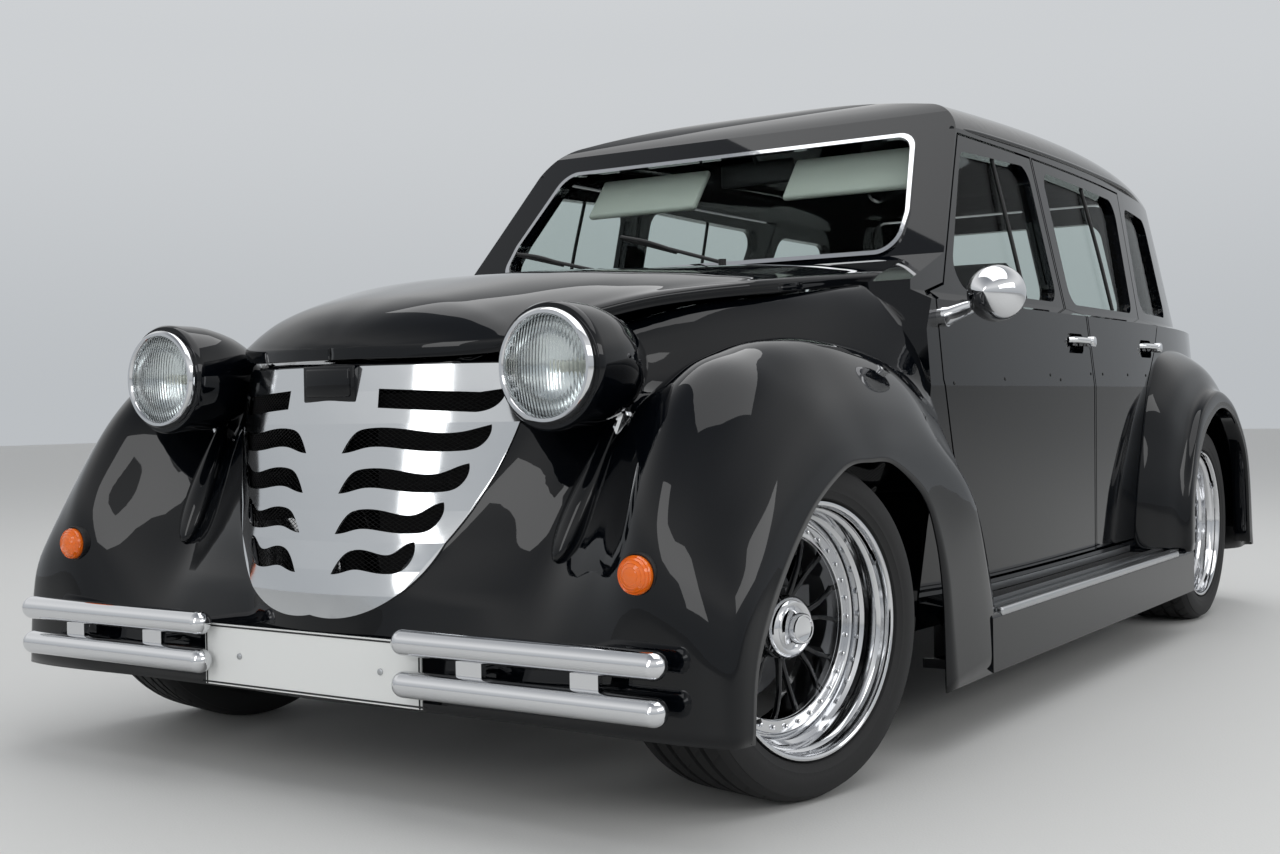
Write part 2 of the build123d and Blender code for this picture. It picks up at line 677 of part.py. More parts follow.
# Bonnet and the body around the engine
bonnet_cut = bonnet_solid(0, lift=60, drop=BONNET_DROP, grow=PANEL_GAP)
bonnet = bonnet_solid(0) - bonnet_solid(BONNET_WALL, drop=40)
parts["bonnet"] = bonnet
nose = nose_solid(0)
ledge_y = BONNET_SECTIONS[0][1] - BONNET_WALL
ledge_z = BONNET_SECTIONS[0][2] - BONNET_WALL - SEAT_GAP - 0.8
ledge = box((BONNET_REAR_X - 22, ledge_y - 8, 886), (BONNET_REAR_X - PANEL_GAP - 0.1, ledge_y + 16, 946))
ledge += box((BONNET_REAR_X - PANEL_GAP - 4, ledge_y - 8, 886), (BONNET_REAR_X + 8, ledge_y + 16, ledge_z))
parts["screen_frame"] = parts["screen_frame"] - bonnet_cut + ledge + mirrored(ledge)
side = side - bonnet_cut
parts["body_sides"] = Compound([*side.solids(), *mirrored(side).solids()])
front_cavity = across(WHEELHOUSE_RADIUS, FRONT_AXLE_X, AXLE_Z, CAVITY_Y, REACH)
nose_shell = nose - nose_solid(NOSE_WALL) - bonnet_cut - cabin
nose_shell = nose_shell - front_cavity - mirrored(front_cavity)
grille_opening = front_prism(((-322, 702), (322, 702), (310, 600), (160, 364), (-160, 364), (-310, 600)),
                             1400, 1900, 20)
nose_shell = nose_shell - grille_opening
parts["nose_panel"] = nose_shell

# Pontoon wings
tyre_room = across(WHEELHOUSE_RADIUS, FRONT_AXLE_X, AXLE_Z, 300, FLARE_Y - SKIN)
half_tread = TYRE_WIDTH / 2 + TYRE_CLEARANCE
tyre_space = across(TYRE_RADIUS + TYRE_CLEARANCE, FRONT_AXLE_X, AXLE_Z, WHEEL_Y - half_tread, WHEEL_Y + half_tread)
for angle in STEER_SWEEP:
    tyre_room += tyre_space.rotate(Axis((FRONT_AXLE_X, KINGPIN_Y, 0), (0, 0, 1)), angle)
wing = pontoon(FRONT_AXLE_X - 5, WING_Z, ARCH_RADIUS, FLARE_Y, FRONT_WING_SECTIONS)
wing = wing - nose - cabin - tyre_room
rear_wing = pontoon(REAR_WING_X, REAR_WING_Z, REAR_ARCH_RADIUS, REAR_FLARE_Y, REAR_WING_SECTIONS, 0)
rear_wing = rear_wing - cabin - across(WHEELHOUSE_RADIUS, REAR_AXLE_X, AXLE_Z, 300, FLARE_Y - SKIN)
parts["front_wings"] = Compound([*wing.solids(), *mirrored(wing).solids()])
parts["rear_wings"] = Compound([*rear_wing.solids(), *mirrored(rear_wing).solids()])


def shield_outline():
    """Front-view outline of the grille plate."""
    top = GRILLE_TOP_Z
    left = [(GRILLE_TOP_HALF, top), (GRILLE_WIDE_HALF, GRILLE_WIDE_Z)]
    curve = Line((-GRILLE_TOP_HALF, top), (GRILLE_TOP_HALF, top)) + Line(*left)
    curve += ThreePointArc(left[-1], (309, 546), (246, 432))
    curve += ThreePointArc((246, 432), (178, 348), (0, GRILLE_FOOT_Z))
    curve += ThreePointArc((0, GRILLE_FOOT_Z), (-178, 348), (-246, 432))
    curve += ThreePointArc((-246, 432), (-309, 546), (-GRILLE_WIDE_HALF, GRILLE_WIDE_Z))
    curve += Line((-GRILLE_WIDE_HALF, GRILLE_WIDE_Z), (-GRILLE_TOP_HALF, top))
    return curve


def slot_face(inner_y, outer_y, tip_z, rise):
    """S-shaped grille slot on the left half, in front view; the inner tip points down, the outer one up."""
    middle = (inner_y + outer_y) / 2
    upper = ((inner_y, tip_z + 5), (inner_y + 14, tip_z + 28), (inner_y + 29, tip_z + 42), (inner_y + 52, tip_z + 48),
             (middle, tip_z + 45), (outer_y - 40, tip_z + 41), (outer_y - 14, tip_z + rise - 4),
             (outer_y, tip_z + rise))
    lower = ((outer_y, tip_z + rise), (outer_y - 5, tip_z + 28), (outer_y - 20, tip_z + 13),
             (outer_y - 44, tip_z + 8), (middle, tip_z + 11), (inner_y + 46, tip_z + 14), (inner_y + 22, tip_z + 8),
             (inner_y, tip_z + 5))
    return Spline(*upper) + Spline(*lower)


def top_slot_face():
    """Uppermost slot: square at its inner end, with the same upturned tip."""
    inner_top, inner_foot, heel = TOP_SLOT
    belly, tip, crest = TOP_SLOT_TIP
    return Polyline(crest, inner_top, inner_foot, heel) + Spline(heel, belly, tip) + Spline(tip, crest)


# Grille plate, mesh and bare plaque
shield = extrude(Plane(origin=(1400, 0, 0), x_dir=(0, 1, 0), z_dir=(1, 0, 0)) * make_face(shield_outline()),
                 amount=500, dir=(1, 0, 0))
plate = (nose_form(GRILLE_PLATE_THICK) & shield) - nose_form(0)
for outline in (top_slot_face(), *[slot_face(*row) for row in SLOT_ROWS]):
    slot = extrude(station(1400) * make_face(outline), amount=500, dir=(1, 0, 0))
    plate -= slot
    plate -= mirrored(slot)
parts["grille_plate"] = plate
mesh_zone = front_prism(((-322, 712), (322, 712), (322, 600), (240, 462), (152, 356), (-152, 356), (-240, 462),
                         (-322, 600)), 1400, 1900)
mesh_front = -NOSE_WALL - SEAT_GAP
mesh = (nose_form(mesh_front) & mesh_zone) - nose_form(mesh_front - MESH_THICK)
plaque = front_prism(((-62, GRILLE_TOP_Z), (62, GRILLE_TOP_Z), (62, 676), (-62, 676)), PLAQUE_FRONT_X - 40,
                     PLAQUE_FRONT_X, 6) - nose_form(GRILLE_PLATE_THICK)
parts["grille_mesh"] = Compound([mesh, plaque])

# Round lamp pods with their raised fairings in the valleys, rims and lenses
pod_profile = make_face(
    Polyline((0, 0), *LAMP_POD_PROFILE) + dome(LAMP_POD_PROFILE[-1][0], LAMP_POD_PROFILE[-1][1], -LAMP_POD_LENGTH) +
    Line((0, -LAMP_POD_LENGTH), (0, 0)))
lamp_plane = Plane(origin=(LAMP_X, LAMP_Y, LAMP_Z), x_dir=(0, 1, 0), z_dir=(1, 0, 0))
pod = lamp_plane * revolve(Plane.XZ * pod_profile, axis=Axis.Z)
stem = box((LAMP_STEM_REAR_X, LAMP_Y - 14, LAMP_Z - 220), (LAMP_STEM_FRONT_X, LAMP_Y + 26, LAMP_Z - 60))
lamp_body = (pod + stem) - wing - (nose_body(0) & box((1200, 0, 0), (LAMP_SEAT_X, 900, 1000)))
lamp_body = lamp_body.solids().sort_by(SortBy.VOLUME)[-1]
rim_profile = make_face(Polyline((LAMP_LENS_RADIUS - 2, SEAT_GAP), (LAMP_RIM_RADIUS, SEAT_GAP),
                                 (LAMP_RIM_RADIUS - 2, 14), (LAMP_LENS_RADIUS - 2, 10), close=True))
lamp_rim = lamp_plane * revolve(Plane.XZ * rim_profile, axis=Axis.Z)
lens_profile = make_face(Polyline((0, SEAT_GAP), (LAMP_LENS_RADIUS - 3, SEAT_GAP), (LAMP_LENS_RADIUS - 3, 8)) +
                         dome(LAMP_LENS_RADIUS - 3, 8, 24) + Line((0, 24), (0, SEAT_GAP)))
lens = lamp_plane * revolve(Plane.XZ * lens_profile, axis=Axis.Z)

parts["lamp_pods"] = Compound([lamp_body, mirrored(lamp_body)])
parts["lamp_rims"] = Compound([lamp_rim, mirrored(lamp_rim)])
parts["lamp_lenses"] = Compound([lens, mirrored(lens)])

# Round indicators on the wings and round lamps at the tail
def round_lamp(x, y, z, radius, base_length, outward):
    """Domed lens on a round base, facing fore or aft."""
    plane = Plane(origin=(x, y, z), x_dir=(0, 1, 0), z_dir=(outward, 0, 0))
    base = Cylinder(radius, base_length, align=(Align.CENTER, Align.CENTER, Align.MIN))
    low = base_length + 6
    dome_profile = make_face(Polyline((0, base_length), (radius - 4, base_length), (radius - 4, low)) +
                             dome(radius - 4, low, low + 12) + Line((0, low + 12), (0, base_length)))
    return plane * (base + revolve(Plane.XZ * dome_profile, axis=Axis.Z))


indicator = round_lamp(INDICATOR_X, INDICATOR_Y, INDICATOR_Z, INDICATOR_RADIUS, INDICATOR_BASE, 1) - wing
tail_lamps = [round_lamp(TAIL_LAMP_X, TAIL_LAMP_Y, z, TAIL_LAMP_RADIUS, TAIL_LAMP_BASE, -1) for z in TAIL_LAMP_Z]
tail_lamps = [lamp - cabin for lamp in tail_lamps]
lamps = [indicator, *tail_lamps]
parts["small_lamps"] = Compound([solid for lamp in lamps for shape in (lamp, mirrored(lamp))
                                 for solid in shape.solids()])

# Twin-tube bumpers: two short pairs in front, one full-width pair behind
def bumper_tube(x, low_y, high_y, z):
    bar = tube((x, low_y, z), (x, high_y, z), BUMPER_TUBE_RADIUS)
    return bar + Pos(x, low_y, z) * Sphere(BUMPER_TUBE_RADIUS) + Pos(x, high_y, z) * Sphere(BUMPER_TUBE_RADIUS)


front_tubes = [bumper_tube(BUMPER_X, BUMPER_INNER_Y, BUMPER_OUTER_Y, z) for z in BUMPER_Z]
stays = []
for y in BUMPER_STAY_Y:
    plate_low = BUMPER_Z[1] + BUMPER_TUBE_RADIUS
    plate_high = BUMPER_Z[0] - BUMPER_TUBE_RADIUS
    stays.append(box((BUMPER_X - 14, y - 26, plate_low - 8), (BUMPER_X - 2, y + 26, plate_high + 8)))
    stays.append(tube((1684, y, BUMPER_STAY_Z), (BUMPER_X - 14, y, BUMPER_STAY_Z), 14))
front_bumper = front_tubes[0] + front_tubes[1]
for stay in stays:
    front_bumper += stay
front_bumper = front_bumper - wing - nose
rear_tubes = [bumper_tube(REAR_BUMPER_X, -BUMPER_OUTER_Y + 90, BUMPER_OUTER_Y - 90, z + 40) for z in BUMPER_Z]
rear_bumper = rear_tubes[0] + rear_tubes[1]
for y in (-380, 380):
    rear_bumper += box((REAR_BUMPER_X + 2, y - 26, BUMPER_Z[1] + 54),
                       (REAR_BUMPER_X + 14, y + 26, BUMPER_Z[0] + 26))
    rear_bumper += tube((GATE_FOOT_X, y, BUMPER_STAY_Z + 40), (REAR_BUMPER_X + 14, y, BUMPER_STAY_Z + 40), 14)
parts["front_bumper"] = Compound([*front_bumper.solids(), *mirrored(front_bumper).solids()])
parts["rear_bumper"] = rear_bumper

# Running boards with their bright tread strips
board = side_prism(((BOARD_FRONT_X, BOARD_LOW_Z), (BOARD_FRONT_X, BOARD_TOP_Z), (BOARD_REAR_X, BOARD_TOP_Z),
                    (BOARD_REAR_X, BOARD_LOW_Z)), BOARD_INNER_Y, FLARE_Y - 2)
board = fillet(board.edges().filter_by(Axis.X).group_by(Axis.Y)[-1].group_by(Axis.Z)[-1], 12)
board = board - wing - rear_wing - cabin
board = board.solids().sort_by(SortBy.VOLUME)[-1]
parts["running_boards"] = Compound([board, mirrored(board)])
strip = box((BOARD_REAR_X + 4, 766, BOARD_TOP_Z), (BOARD_FRONT_X - 4, 790, BOARD_TOP_Z + 6))
edge_strip = box((BOARD_REAR_X + 4, 808, BOARD_TOP_Z), (BOARD_FRONT_X - 4, 822, BOARD_TOP_Z + 5))
treads = [(piece - wing - rear_wing).solids().sort_by(SortBy.VOLUME)[-1] for piece in (strip, edge_strip)]
parts["tread_strips"] = Compound([*treads, *[mirrored(piece) for piece in treads]])

# Number plates, bare
def number_plate(x, z, outward):
    low = min(x, x + outward * PLATE_THICK)
    plate = box((low, -PLATE_WIDTH / 2, z - PLATE_HEIGHT / 2),
                (low + PLATE_THICK, PLATE_WIDTH / 2, z + PLATE_HEIGHT / 2))
    for y in (-PLATE_WIDTH / 3, PLATE_WIDTH / 3):
        plate += box((min(low, low - outward * 60), y - 20, z - 30), (max(low, low - outward * 60), y + 20, z + 30))
    return plate


front_plate = number_plate(BUMPER_X - BUMPER_TUBE_RADIUS - 6, FRONT_PLATE_Z, 1) - nose
rear_plate = number_plate(GATE_FOOT_X - 8, REAR_PLATE_Z, -1) - cabin
parts["front_plate"] = front_plate
parts["rear_plate"] = rear_plate

# Floor with the raised boot, the bulkhead and two chassis rails
floor = box((BOOT_STEP_X, -720, FLOOR_Z), (740, 720, FLOOR_Z + FLOOR_WALL))
floor += box((BOOT_STEP_X - FLOOR_WALL, -720, FLOOR_Z), (BOOT_STEP_X, 720, BOOT_FLOOR_Z))
floor += box((GATE_FOOT_X + 10, -720, BOOT_FLOOR_Z - FLOOR_WALL), (BOOT_STEP_X, 720, BOOT_FLOOR_Z))
floor += box((725, -720, FLOOR_Z), (740, 720, 880))
floor = floor & box((-1900, -1000, 0), (741, 1000, 1000)) & room
wheel_room = across(WHEELHOUSE_RADIUS + SKIN, REAR_AXLE_X, AXLE_Z, WHEELHOUSE_INNER_Y - SKIN, REACH)
floor = floor - wheel_room - mirrored(wheel_room) - bonnet_cut - arm_notch - mirrored(arm_notch)
rails = [box((BOOT_STEP_X - 60, side * RAIL_Y - 30, RAIL_LOW_Z), (1500, side * RAIL_Y + 30, FLOOR_Z)) -
         box((730, side * RAIL_Y - 31, SILL_Z - SEAT_GAP), (790, side * RAIL_Y + 31, FLOOR_Z + 1))
         for side in (1, -1)]
parts["floor_pan"] = floor


def knuckle_side(side):
    """Steered upright with its stub axle and brake caliper, wheels straight ahead."""
    y = KINGPIN_Y
    upright = box((FRONT_AXLE_X - 28, y - 14, 176), (FRONT_AXLE_X + 28, y + 22, 436))
    upright += tube((FRONT_AXLE_X, y, 176), (FRONT_AXLE_X, y, 436), KINGPIN_RADIUS)
    stub = across(24, FRONT_AXLE_X, AXLE_Z, y + 20, DISC_Y - 0.3)
    arm = box((FRONT_AXLE_X - 130, y - 10, 232), (FRONT_AXLE_X - 28, y + 10, 252))
    caliper = box((FRONT_AXLE_X - 150, DISC_Y - 22, AXLE_Z - 52),
                  (FRONT_AXLE_X - 86, DISC_Y + DISC_THICK + 22, AXLE_Z + 52))
    caliper -= across(DISC_RADIUS + 5, FRONT_AXLE_X, AXLE_Z, DISC_Y - 5, DISC_Y + DISC_THICK + 5)
    caliper -= across(92, FRONT_AXLE_X, AXLE_Z, DISC_Y - 30, DISC_Y + 60)
    bracket = box((FRONT_AXLE_X - 120, y + 4, AXLE_Z - 30), (FRONT_AXLE_X - 27, y + 22, AXLE_Z + 30))
    bracket += box((FRONT_AXLE_X - 120, y + 20, AXLE_Z - 30), (FRONT_AXLE_X - 96, DISC_Y - 20, AXLE_Z + 30))
    piece = upright + stub + arm + caliper + bracket
    if side < 0:
        piece = mirrored(piece)
    return turned(piece, side)


parts["knuckle_left"] = knuckle_side(1)
parts["knuckle_right"] = knuckle_side(-1)


def links(side):
    """Wishbones in front and trailing arm with stub axle behind, on one side."""
    flank_y = CAVITY_Y + SEAT_GAP
    solids = []
    for z in (176 - 14.3, 436 + 0.3):
        points = ((FRONT_AXLE_X - 150, flank_y), (FRONT_AXLE_X + 150, flank_y), (FRONT_AXLE_X + 30, KINGPIN_Y + 26),
                  (FRONT_AXLE_X - 30, KINGPIN_Y + 26))
        solids.append(extrude(Pos(0, 0, z) * make_face(Polyline(*points, close=True)), amount=14, dir=(0, 0, 1)))
    arm = extrude(Plane(origin=(0, ARM_Y + 20, 0), x_dir=(1, 0, 0), z_dir=(0, -1, 0)) * make_face(Polyline(
        (TORSION_X + 10, TORSION_Z - 30), (TORSION_X, TORSION_Z + 30), (REAR_AXLE_X, AXLE_Z + 34),
        (REAR_AXLE_X - 40, AXLE_Z), (REAR_AXLE_X, AXLE_Z - 34), close=True)), amount=40, dir=(0, -1, 0))
    arm += across(24, REAR_AXLE_X, AXLE_Z, ARM_Y, DISC_Y - 0.3)
    solids.append(arm)
    if side < 0:
        solids = [mirrored(piece) for piece in solids]
    return solids


torsion = across(30, TORSION_X, TORSION_Z, -ARM_Y + 20, ARM_Y - 20)
engine_bed = box((960, -362, FLOOR_Z), (1040, 362, ENGINE_Z))
parts["chassis"] = Compound([*rails, torsion, engine_bed, *links(1), *links(-1)])
parts["engine_block"] = box((790, -200, ENGINE_Z), (1330, 200, 690))

# Exhaust under the floor
silencer = tube((-150, EXHAUST_Y, FLOOR_Z - 60), (-560, EXHAUST_Y, FLOOR_Z - 60), 60)
exhaust = silencer + tube((720, EXHAUST_Y, FLOOR_Z - 85), (-150, EXHAUST_Y, FLOOR_Z - 85), 20)
exhaust += tube((-560, EXHAUST_Y, FLOOR_Z - 85), (TAIL_PIPE_X, EXHAUST_Y, FLOOR_Z - 85), 20)
exhaust -= tube((TAIL_PIPE_X + 120, EXHAUST_Y, FLOOR_Z - 85), (TAIL_PIPE_X - 1, EXHAUST_Y, FLOOR_Z - 85), 17)
parts["exhaust"] = exhaust

# Windscreen trim and wipers
def screen_band(low, high, near_z, far_z):
    """Slab along the windscreen plane between two offsets ahead of it."""
    return side_prism(((screen_x(near_z) + low, near_z), (screen_x(near_z) + high, near_z),
                       (screen_x(far_z) + high, far_z), (screen_x(far_z) + low, far_z)), -REACH, REACH)


trim_outer = front_prism(screen_outline(TRIM_OUTER), 0, 900, SCREEN_CORNER + TRIM_OUTER)
trim_inner = front_prism(screen_outline(TRIM_INNER), 0, 900, SCREEN_CORNER)
parts["windscreen_trim"] = (trim_outer - trim_inner) & screen_band(0.3, 7, 950, 1330)

wiper_solids = []
for pivot_y, pivot_z, tip_y, tip_z in WIPERS:
    pivot = (WIPER_X, pivot_y, pivot_z)
    tip = (screen_x(tip_z) + 22, tip_y, tip_z)
    middle = tuple(0.45 * a + 0.55 * b for a, b in zip(pivot, tip))
    wiper = tube(pivot, tip, 4.5)
    normal = Vector(0.783, 0, 0.622)
    wiper += tube((WIPER_X, pivot_y, pivot_z - 40), (WIPER_X, pivot_y, pivot_z + 8), 9)
    blade_start = tuple(Vector(*middle) - normal * 6)
    blade_end = tuple(Vector(*tip) - normal * 6 + (Vector(*tip) - Vector(*pivot)) * 0.22)
    wiper += tube(blade_start, blade_end, 5)
    wiper_solids.append(wiper - cabin - parts["windscreen_trim"])
parts["wipers"] = Compound([solid for wiper in wiper_solids for solid in wiper.solids()])

# Left door mirror: bullet body on a short stalk
bullet_profile = make_face(Polyline((0, -46), (52, -46), (54, -40)) +
                           ThreePointArc((54, -40), (40, 26), (0, 52)) + Line((0, 52), (0, -46)))
bullet = Plane(origin=(MIRROR_X, MIRROR_Y, MIRROR_Z), x_dir=(0, 1, 0), z_dir=(1, 0, 0)) * revolve(
    Plane.XZ * bullet_profile, axis=Axis.Z)
foot_y = 740
stalk_foot = (MIRROR_X - 12, foot_y, MIRROR_FOOT_Z)
mirror_body = bullet + tube(stalk_foot, (MIRROR_X, MIRROR_Y - 10, MIRROR_Z - 16), 9)
mirror_body += Pos(*stalk_foot) * Rot(90, 0, 0) * Cylinder(20, 24)
mirror_body = mirror_body - cabin
parts["mirror_left"] = mirror_body.solids().sort_by(SortBy.VOLUME)[-1]
parts["mirror_right"] = mirrored(parts["mirror_left"])

# Cabin fittings
inside = cabin_solid(WALL, ROOF_WALL, 60)
dash = side_prism(((300, 800), (300, 862), (360, 900), (560, 900), (560, 800)), -DASH_HALF, DASH_HALF, 10)
dash = dash & inside
dash += box((500, -DASH_HALF, 560), (540, DASH_HALF, 801)) & inside
dash += box((540, -60, 620), (725, 60, 700))
ledge_room = box((BONNET_REAR_X - 26, ledge_y - 12, 882), (BONNET_REAR_X + 30, ledge_y + 20, 950))
dash = dash - ledge_room - mirrored(ledge_room)
parts["dashboard"] = dash
column_start = Vector(STEERING_X, STEERING_Y, STEERING_Z)
column_dir = Vector(cos(radians(24)), 0, -sin(radians(24)))
wheel_frame = Plane(origin=tuple(column_start), z_dir=column_dir)
steering = wheel_frame * Torus(STEERING_RADIUS, 12)
steering += wheel_frame * Cylinder(34, 30)
for angle in (90, 210, 330):
    steering += wheel_frame * Rot(0, 0, angle) * Pos(STEERING_RADIUS / 2, 0, 0) * Box(STEERING_RADIUS, 26, 8)
steering += tube(tuple(column_start), tuple(column_start + column_dir * COLUMN_LENGTH), 22)
steering = steering - dash
parts["steering_wheel"] = steering.solids().sort_by(SortBy.VOLUME)[-1]


def cushion(low, high, radius):
    shape = box(low, high)
    return fillet(shape.edges(), radius)


def seat(side):
    """One front seat: cushion, raked back and head restraint on two posts."""
    y = side * SEAT_Y
    base = cushion((SEAT_REAR_X, y - 240, SEAT_Z), (SEAT_REAR_X + 490, y + 240, SEAT_Z + 130), 30)
    back = cushion((-60, y - 230, 0), (50, y + 230, 470), 35)
    back = Pos(SEAT_REAR_X, 0, SEAT_Z + 80) * Rot(0, -14, 0) * back
    back = back - base
    posts = Pos(SEAT_REAR_X, 0, SEAT_Z + 80) * Rot(0, -14, 0) * (
        tube((-5, y - 60, 460), (-5, y - 60, 540), 6) + tube((-5, y + 60, 460), (-5, y + 60, 540), 6))
    rest = Pos(SEAT_REAR_X, 0, SEAT_Z + 80) * Rot(0, -14, 0) * cushion((-45, y - 130, 520), (35, y + 130, 640), 30)
    return base.solids() + (back + posts + rest).solids()


parts["front_seats"] = Compound([*seat(1), *seat(-1)])
bench = cushion((BENCH_REAR_X, -BENCH_HALF, BOOT_FLOOR_Z), (BENCH_REAR_X + 430, BENCH_HALF, BOOT_FLOOR_Z + 130), 35)
bench_back = cushion((BENCH_REAR_X - 115, -BENCH_HALF, BOOT_FLOOR_Z), (BENCH_REAR_X - 0.3, BENCH_HALF, 860), 35)
parts["rear_bench"] = Compound([bench, bench_back])
bases = [box((SEAT_REAR_X + 60, side * SEAT_Y - 200, FLOOR_Z + FLOOR_WALL),
             (SEAT_REAR_X + 440, side * SEAT_Y + 200, SEAT_Z)) for side in (1, -1)]
bases.append(box((BOOT_STEP_X, -BENCH_HALF, FLOOR_Z + FLOOR_WALL), (BENCH_REAR_X + 400, BENCH_HALF, BOOT_FLOOR_Z)))
parts["seat_bases"] = Compound(bases)

visor_slab = screen_band(-96, -84, 1160, 1400)
visors = [visor_slab & box((0, low_y, 1178), (900, high_y, 1500)) & inside
          for low_y, high_y in ((90, 480), (-480, -90))]
inner_mirror = box((150, -110, 1222), (168, 110, 1282)) + (tube((159, 0, 1260), (200, 0, 1400), 6) & inside)
parts["visors_and_mirror"] = Compound([*[s for v in visors for s in v.solids()],
                                       *inner_mirror.solids().sort_by(SortBy.VOLUME)[-1:]])


os.makedirs("parts", exist_ok=True)
for name, shape in parts.items():
    export_step(shape, f"parts/{name}.step")
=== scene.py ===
import bpy
import bmesh
import math
from mathutils import Matrix, Vector


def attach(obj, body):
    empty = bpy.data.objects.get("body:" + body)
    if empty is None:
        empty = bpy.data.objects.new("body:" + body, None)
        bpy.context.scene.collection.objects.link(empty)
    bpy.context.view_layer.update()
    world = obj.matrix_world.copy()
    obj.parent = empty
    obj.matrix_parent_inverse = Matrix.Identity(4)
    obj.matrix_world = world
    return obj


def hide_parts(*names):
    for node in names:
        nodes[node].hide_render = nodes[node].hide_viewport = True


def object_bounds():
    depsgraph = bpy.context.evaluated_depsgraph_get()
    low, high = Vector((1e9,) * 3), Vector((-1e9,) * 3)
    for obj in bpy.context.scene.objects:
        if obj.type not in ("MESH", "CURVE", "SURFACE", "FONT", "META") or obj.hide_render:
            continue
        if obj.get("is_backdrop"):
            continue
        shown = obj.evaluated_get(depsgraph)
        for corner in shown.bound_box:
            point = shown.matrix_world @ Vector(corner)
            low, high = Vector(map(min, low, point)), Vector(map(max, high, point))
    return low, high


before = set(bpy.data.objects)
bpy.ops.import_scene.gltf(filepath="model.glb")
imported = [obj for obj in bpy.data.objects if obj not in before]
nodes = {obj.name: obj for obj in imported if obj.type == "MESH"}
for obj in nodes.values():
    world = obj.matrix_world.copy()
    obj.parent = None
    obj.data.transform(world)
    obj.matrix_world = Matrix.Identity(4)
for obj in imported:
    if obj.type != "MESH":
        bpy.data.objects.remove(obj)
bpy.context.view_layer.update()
scene = bpy.context.scene

# Camera: low, about 0.65 m above the floor, ahead of the left front wheel and tilted a little, with
# a short telephoto lens. Its place was solved from the number plate, the wheels and the glass.
CAMERA_AT = Vector((3.6198, 1.9642, 0.6548))
YAW, PITCH, ROLL = math.radians(33.7967), math.radians(-0.7351), math.radians(-0.9446)
SENSOR_WIDTH, LENS_LENGTH = 36, 43.6
ahead = Vector((-math.cos(YAW) * math.cos(PITCH), -math.sin(YAW) * math.cos(PITCH), math.sin(PITCH)))
right = ahead.cross(Vector((0, 0, 1))).normalized()
up = right.cross(ahead)
turned_right = right * math.cos(ROLL) + up * math.sin(ROLL)
turned_up = up * math.cos(ROLL) - right * math.sin(ROLL)
camera = bpy.data.objects.new("camera", bpy.data.cameras.new("camera"))
scene.collection.objects.link(camera)
camera.data.sensor_width = SENSOR_WIDTH
camera.data.lens = LENS_LENGTH
camera.matrix_world = Matrix((
    (turned_right.x, turned_up.x, -ahead.x, CAMERA_AT.x),
    (turned_right.y, turned_up.y, -ahead.y, CAMERA_AT.y),
    (turned_right.z, turned_up.z, -ahead.z, CAMERA_AT.z),
    (0, 0, 0, 1)))
scene.camera = camera

# Studio: a pale painted floor, walls that are brightest half way up, a large soft box over the car
# and two smaller ones, off its left side and ahead of its nose.


def linear(hex_colour):
    """sRGB hex colour as linear RGBA."""
    values = [int(hex_colour[i:i + 2], 16) / 255 for i in (1, 3, 5)]
    return [v / 12.92 if v <= 0.04045 else ((v + 0.055) / 1.055) ** 2.4 for v in values] + [1.0]


def add(owner, kind, settings=None, links=None):
    """One node of a material or of the world, with its values and settings, linked from others."""
    node = owner.node_tree.nodes.new(kind)
    for key, value in (settings or {}).items():
        if key in node.inputs:
            node.inputs[key].default_value = value
        else:
            setattr(node, key, value)
    for key, source in (links or {}).items():
        owner.node_tree.links.new(source, node.inputs[key])
    return node


def finish_of(name, colour, roughness, metallic=0.0, more=None):
    """Material with one principled shader; returns it with that shader."""
    material = bpy.data.materials.new(name)
    material.use_nodes = True
    shader = material.node_tree.nodes["Principled BSDF"]
    shader.inputs["Base Color"].default_value = linear(colour)
    shader.inputs["Roughness"].default_value = roughness
    shader.inputs["Metallic"].default_value = metallic
    for key, value in (more or {}).items():
        shader.inputs[key].default_value = value
    return material, shader


def surface_noise(material, shader, grain, height, detail=3.0, low=None, high=None):
    """Unevenness of a grain and a height in millimetres; roughness follows it from low to high."""
    place = add(material, "ShaderNodeTexCoord")
    noise = add(material, "ShaderNodeTexNoise", {"Scale": 1000 / grain, "Detail": detail},
                {"Vector": place.outputs["Object"]})
    bump = add(material, "ShaderNodeBump", {"Strength": 1.0, "Distance": height / 1000},
               {"Height": noise.outputs["Fac"]})
    material.node_tree.links.new(bump.outputs["Normal"], shader.inputs["Normal"])
    if low is not None:
        spread = add(material, "ShaderNodeMapRange", {"To Min": low, "To Max": high},
                     {"Value": noise.outputs["Fac"]})
        material.node_tree.links.new(spread.outputs["Result"], shader.inputs["Roughness"])


# Rolled floor paint: dull and pale, with a grit drawn coarser than the real one so that it shows.
floor_paint, floor_shader = finish_of("pale_floor_paint", "#CFCFCD", 0.62)
surface_noise(floor_paint, floor_shader, 4.5, 0.4)
bpy.ops.object.select_all(action="DESELECT")
bpy.ops.mesh.primitive_plane_add(size=60)
floor = bpy.context.object
floor.name = "floor"
floor.data.materials.append(floor_paint)
floor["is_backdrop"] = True
world = bpy.data.worlds.new("studio")
scene.world = world
world.use_nodes = True
backdrop = world.node_tree.nodes["Background"]
backdrop.inputs["Strength"].default_value = 0.9
wall_place = add(world, "ShaderNodeTexCoord")
wall_height = add(world, "ShaderNodeSeparateXYZ", links={"Vector": wall_place.outputs["Generated"]})
wall_tone = add(world, "ShaderNodeValToRGB", links={"Fac": wall_height.outputs["Z"]})
world.node_tree.links.new(wall_tone.outputs["Color"], backdrop.inputs["Color"])
wall_tone.color_ramp.interpolation = "EASE"
wall_tone.color_ramp.elements[0].color = linear("#C4C8CC")
wall_tone.color_ramp.elements[1].color = linear("#969AA0")
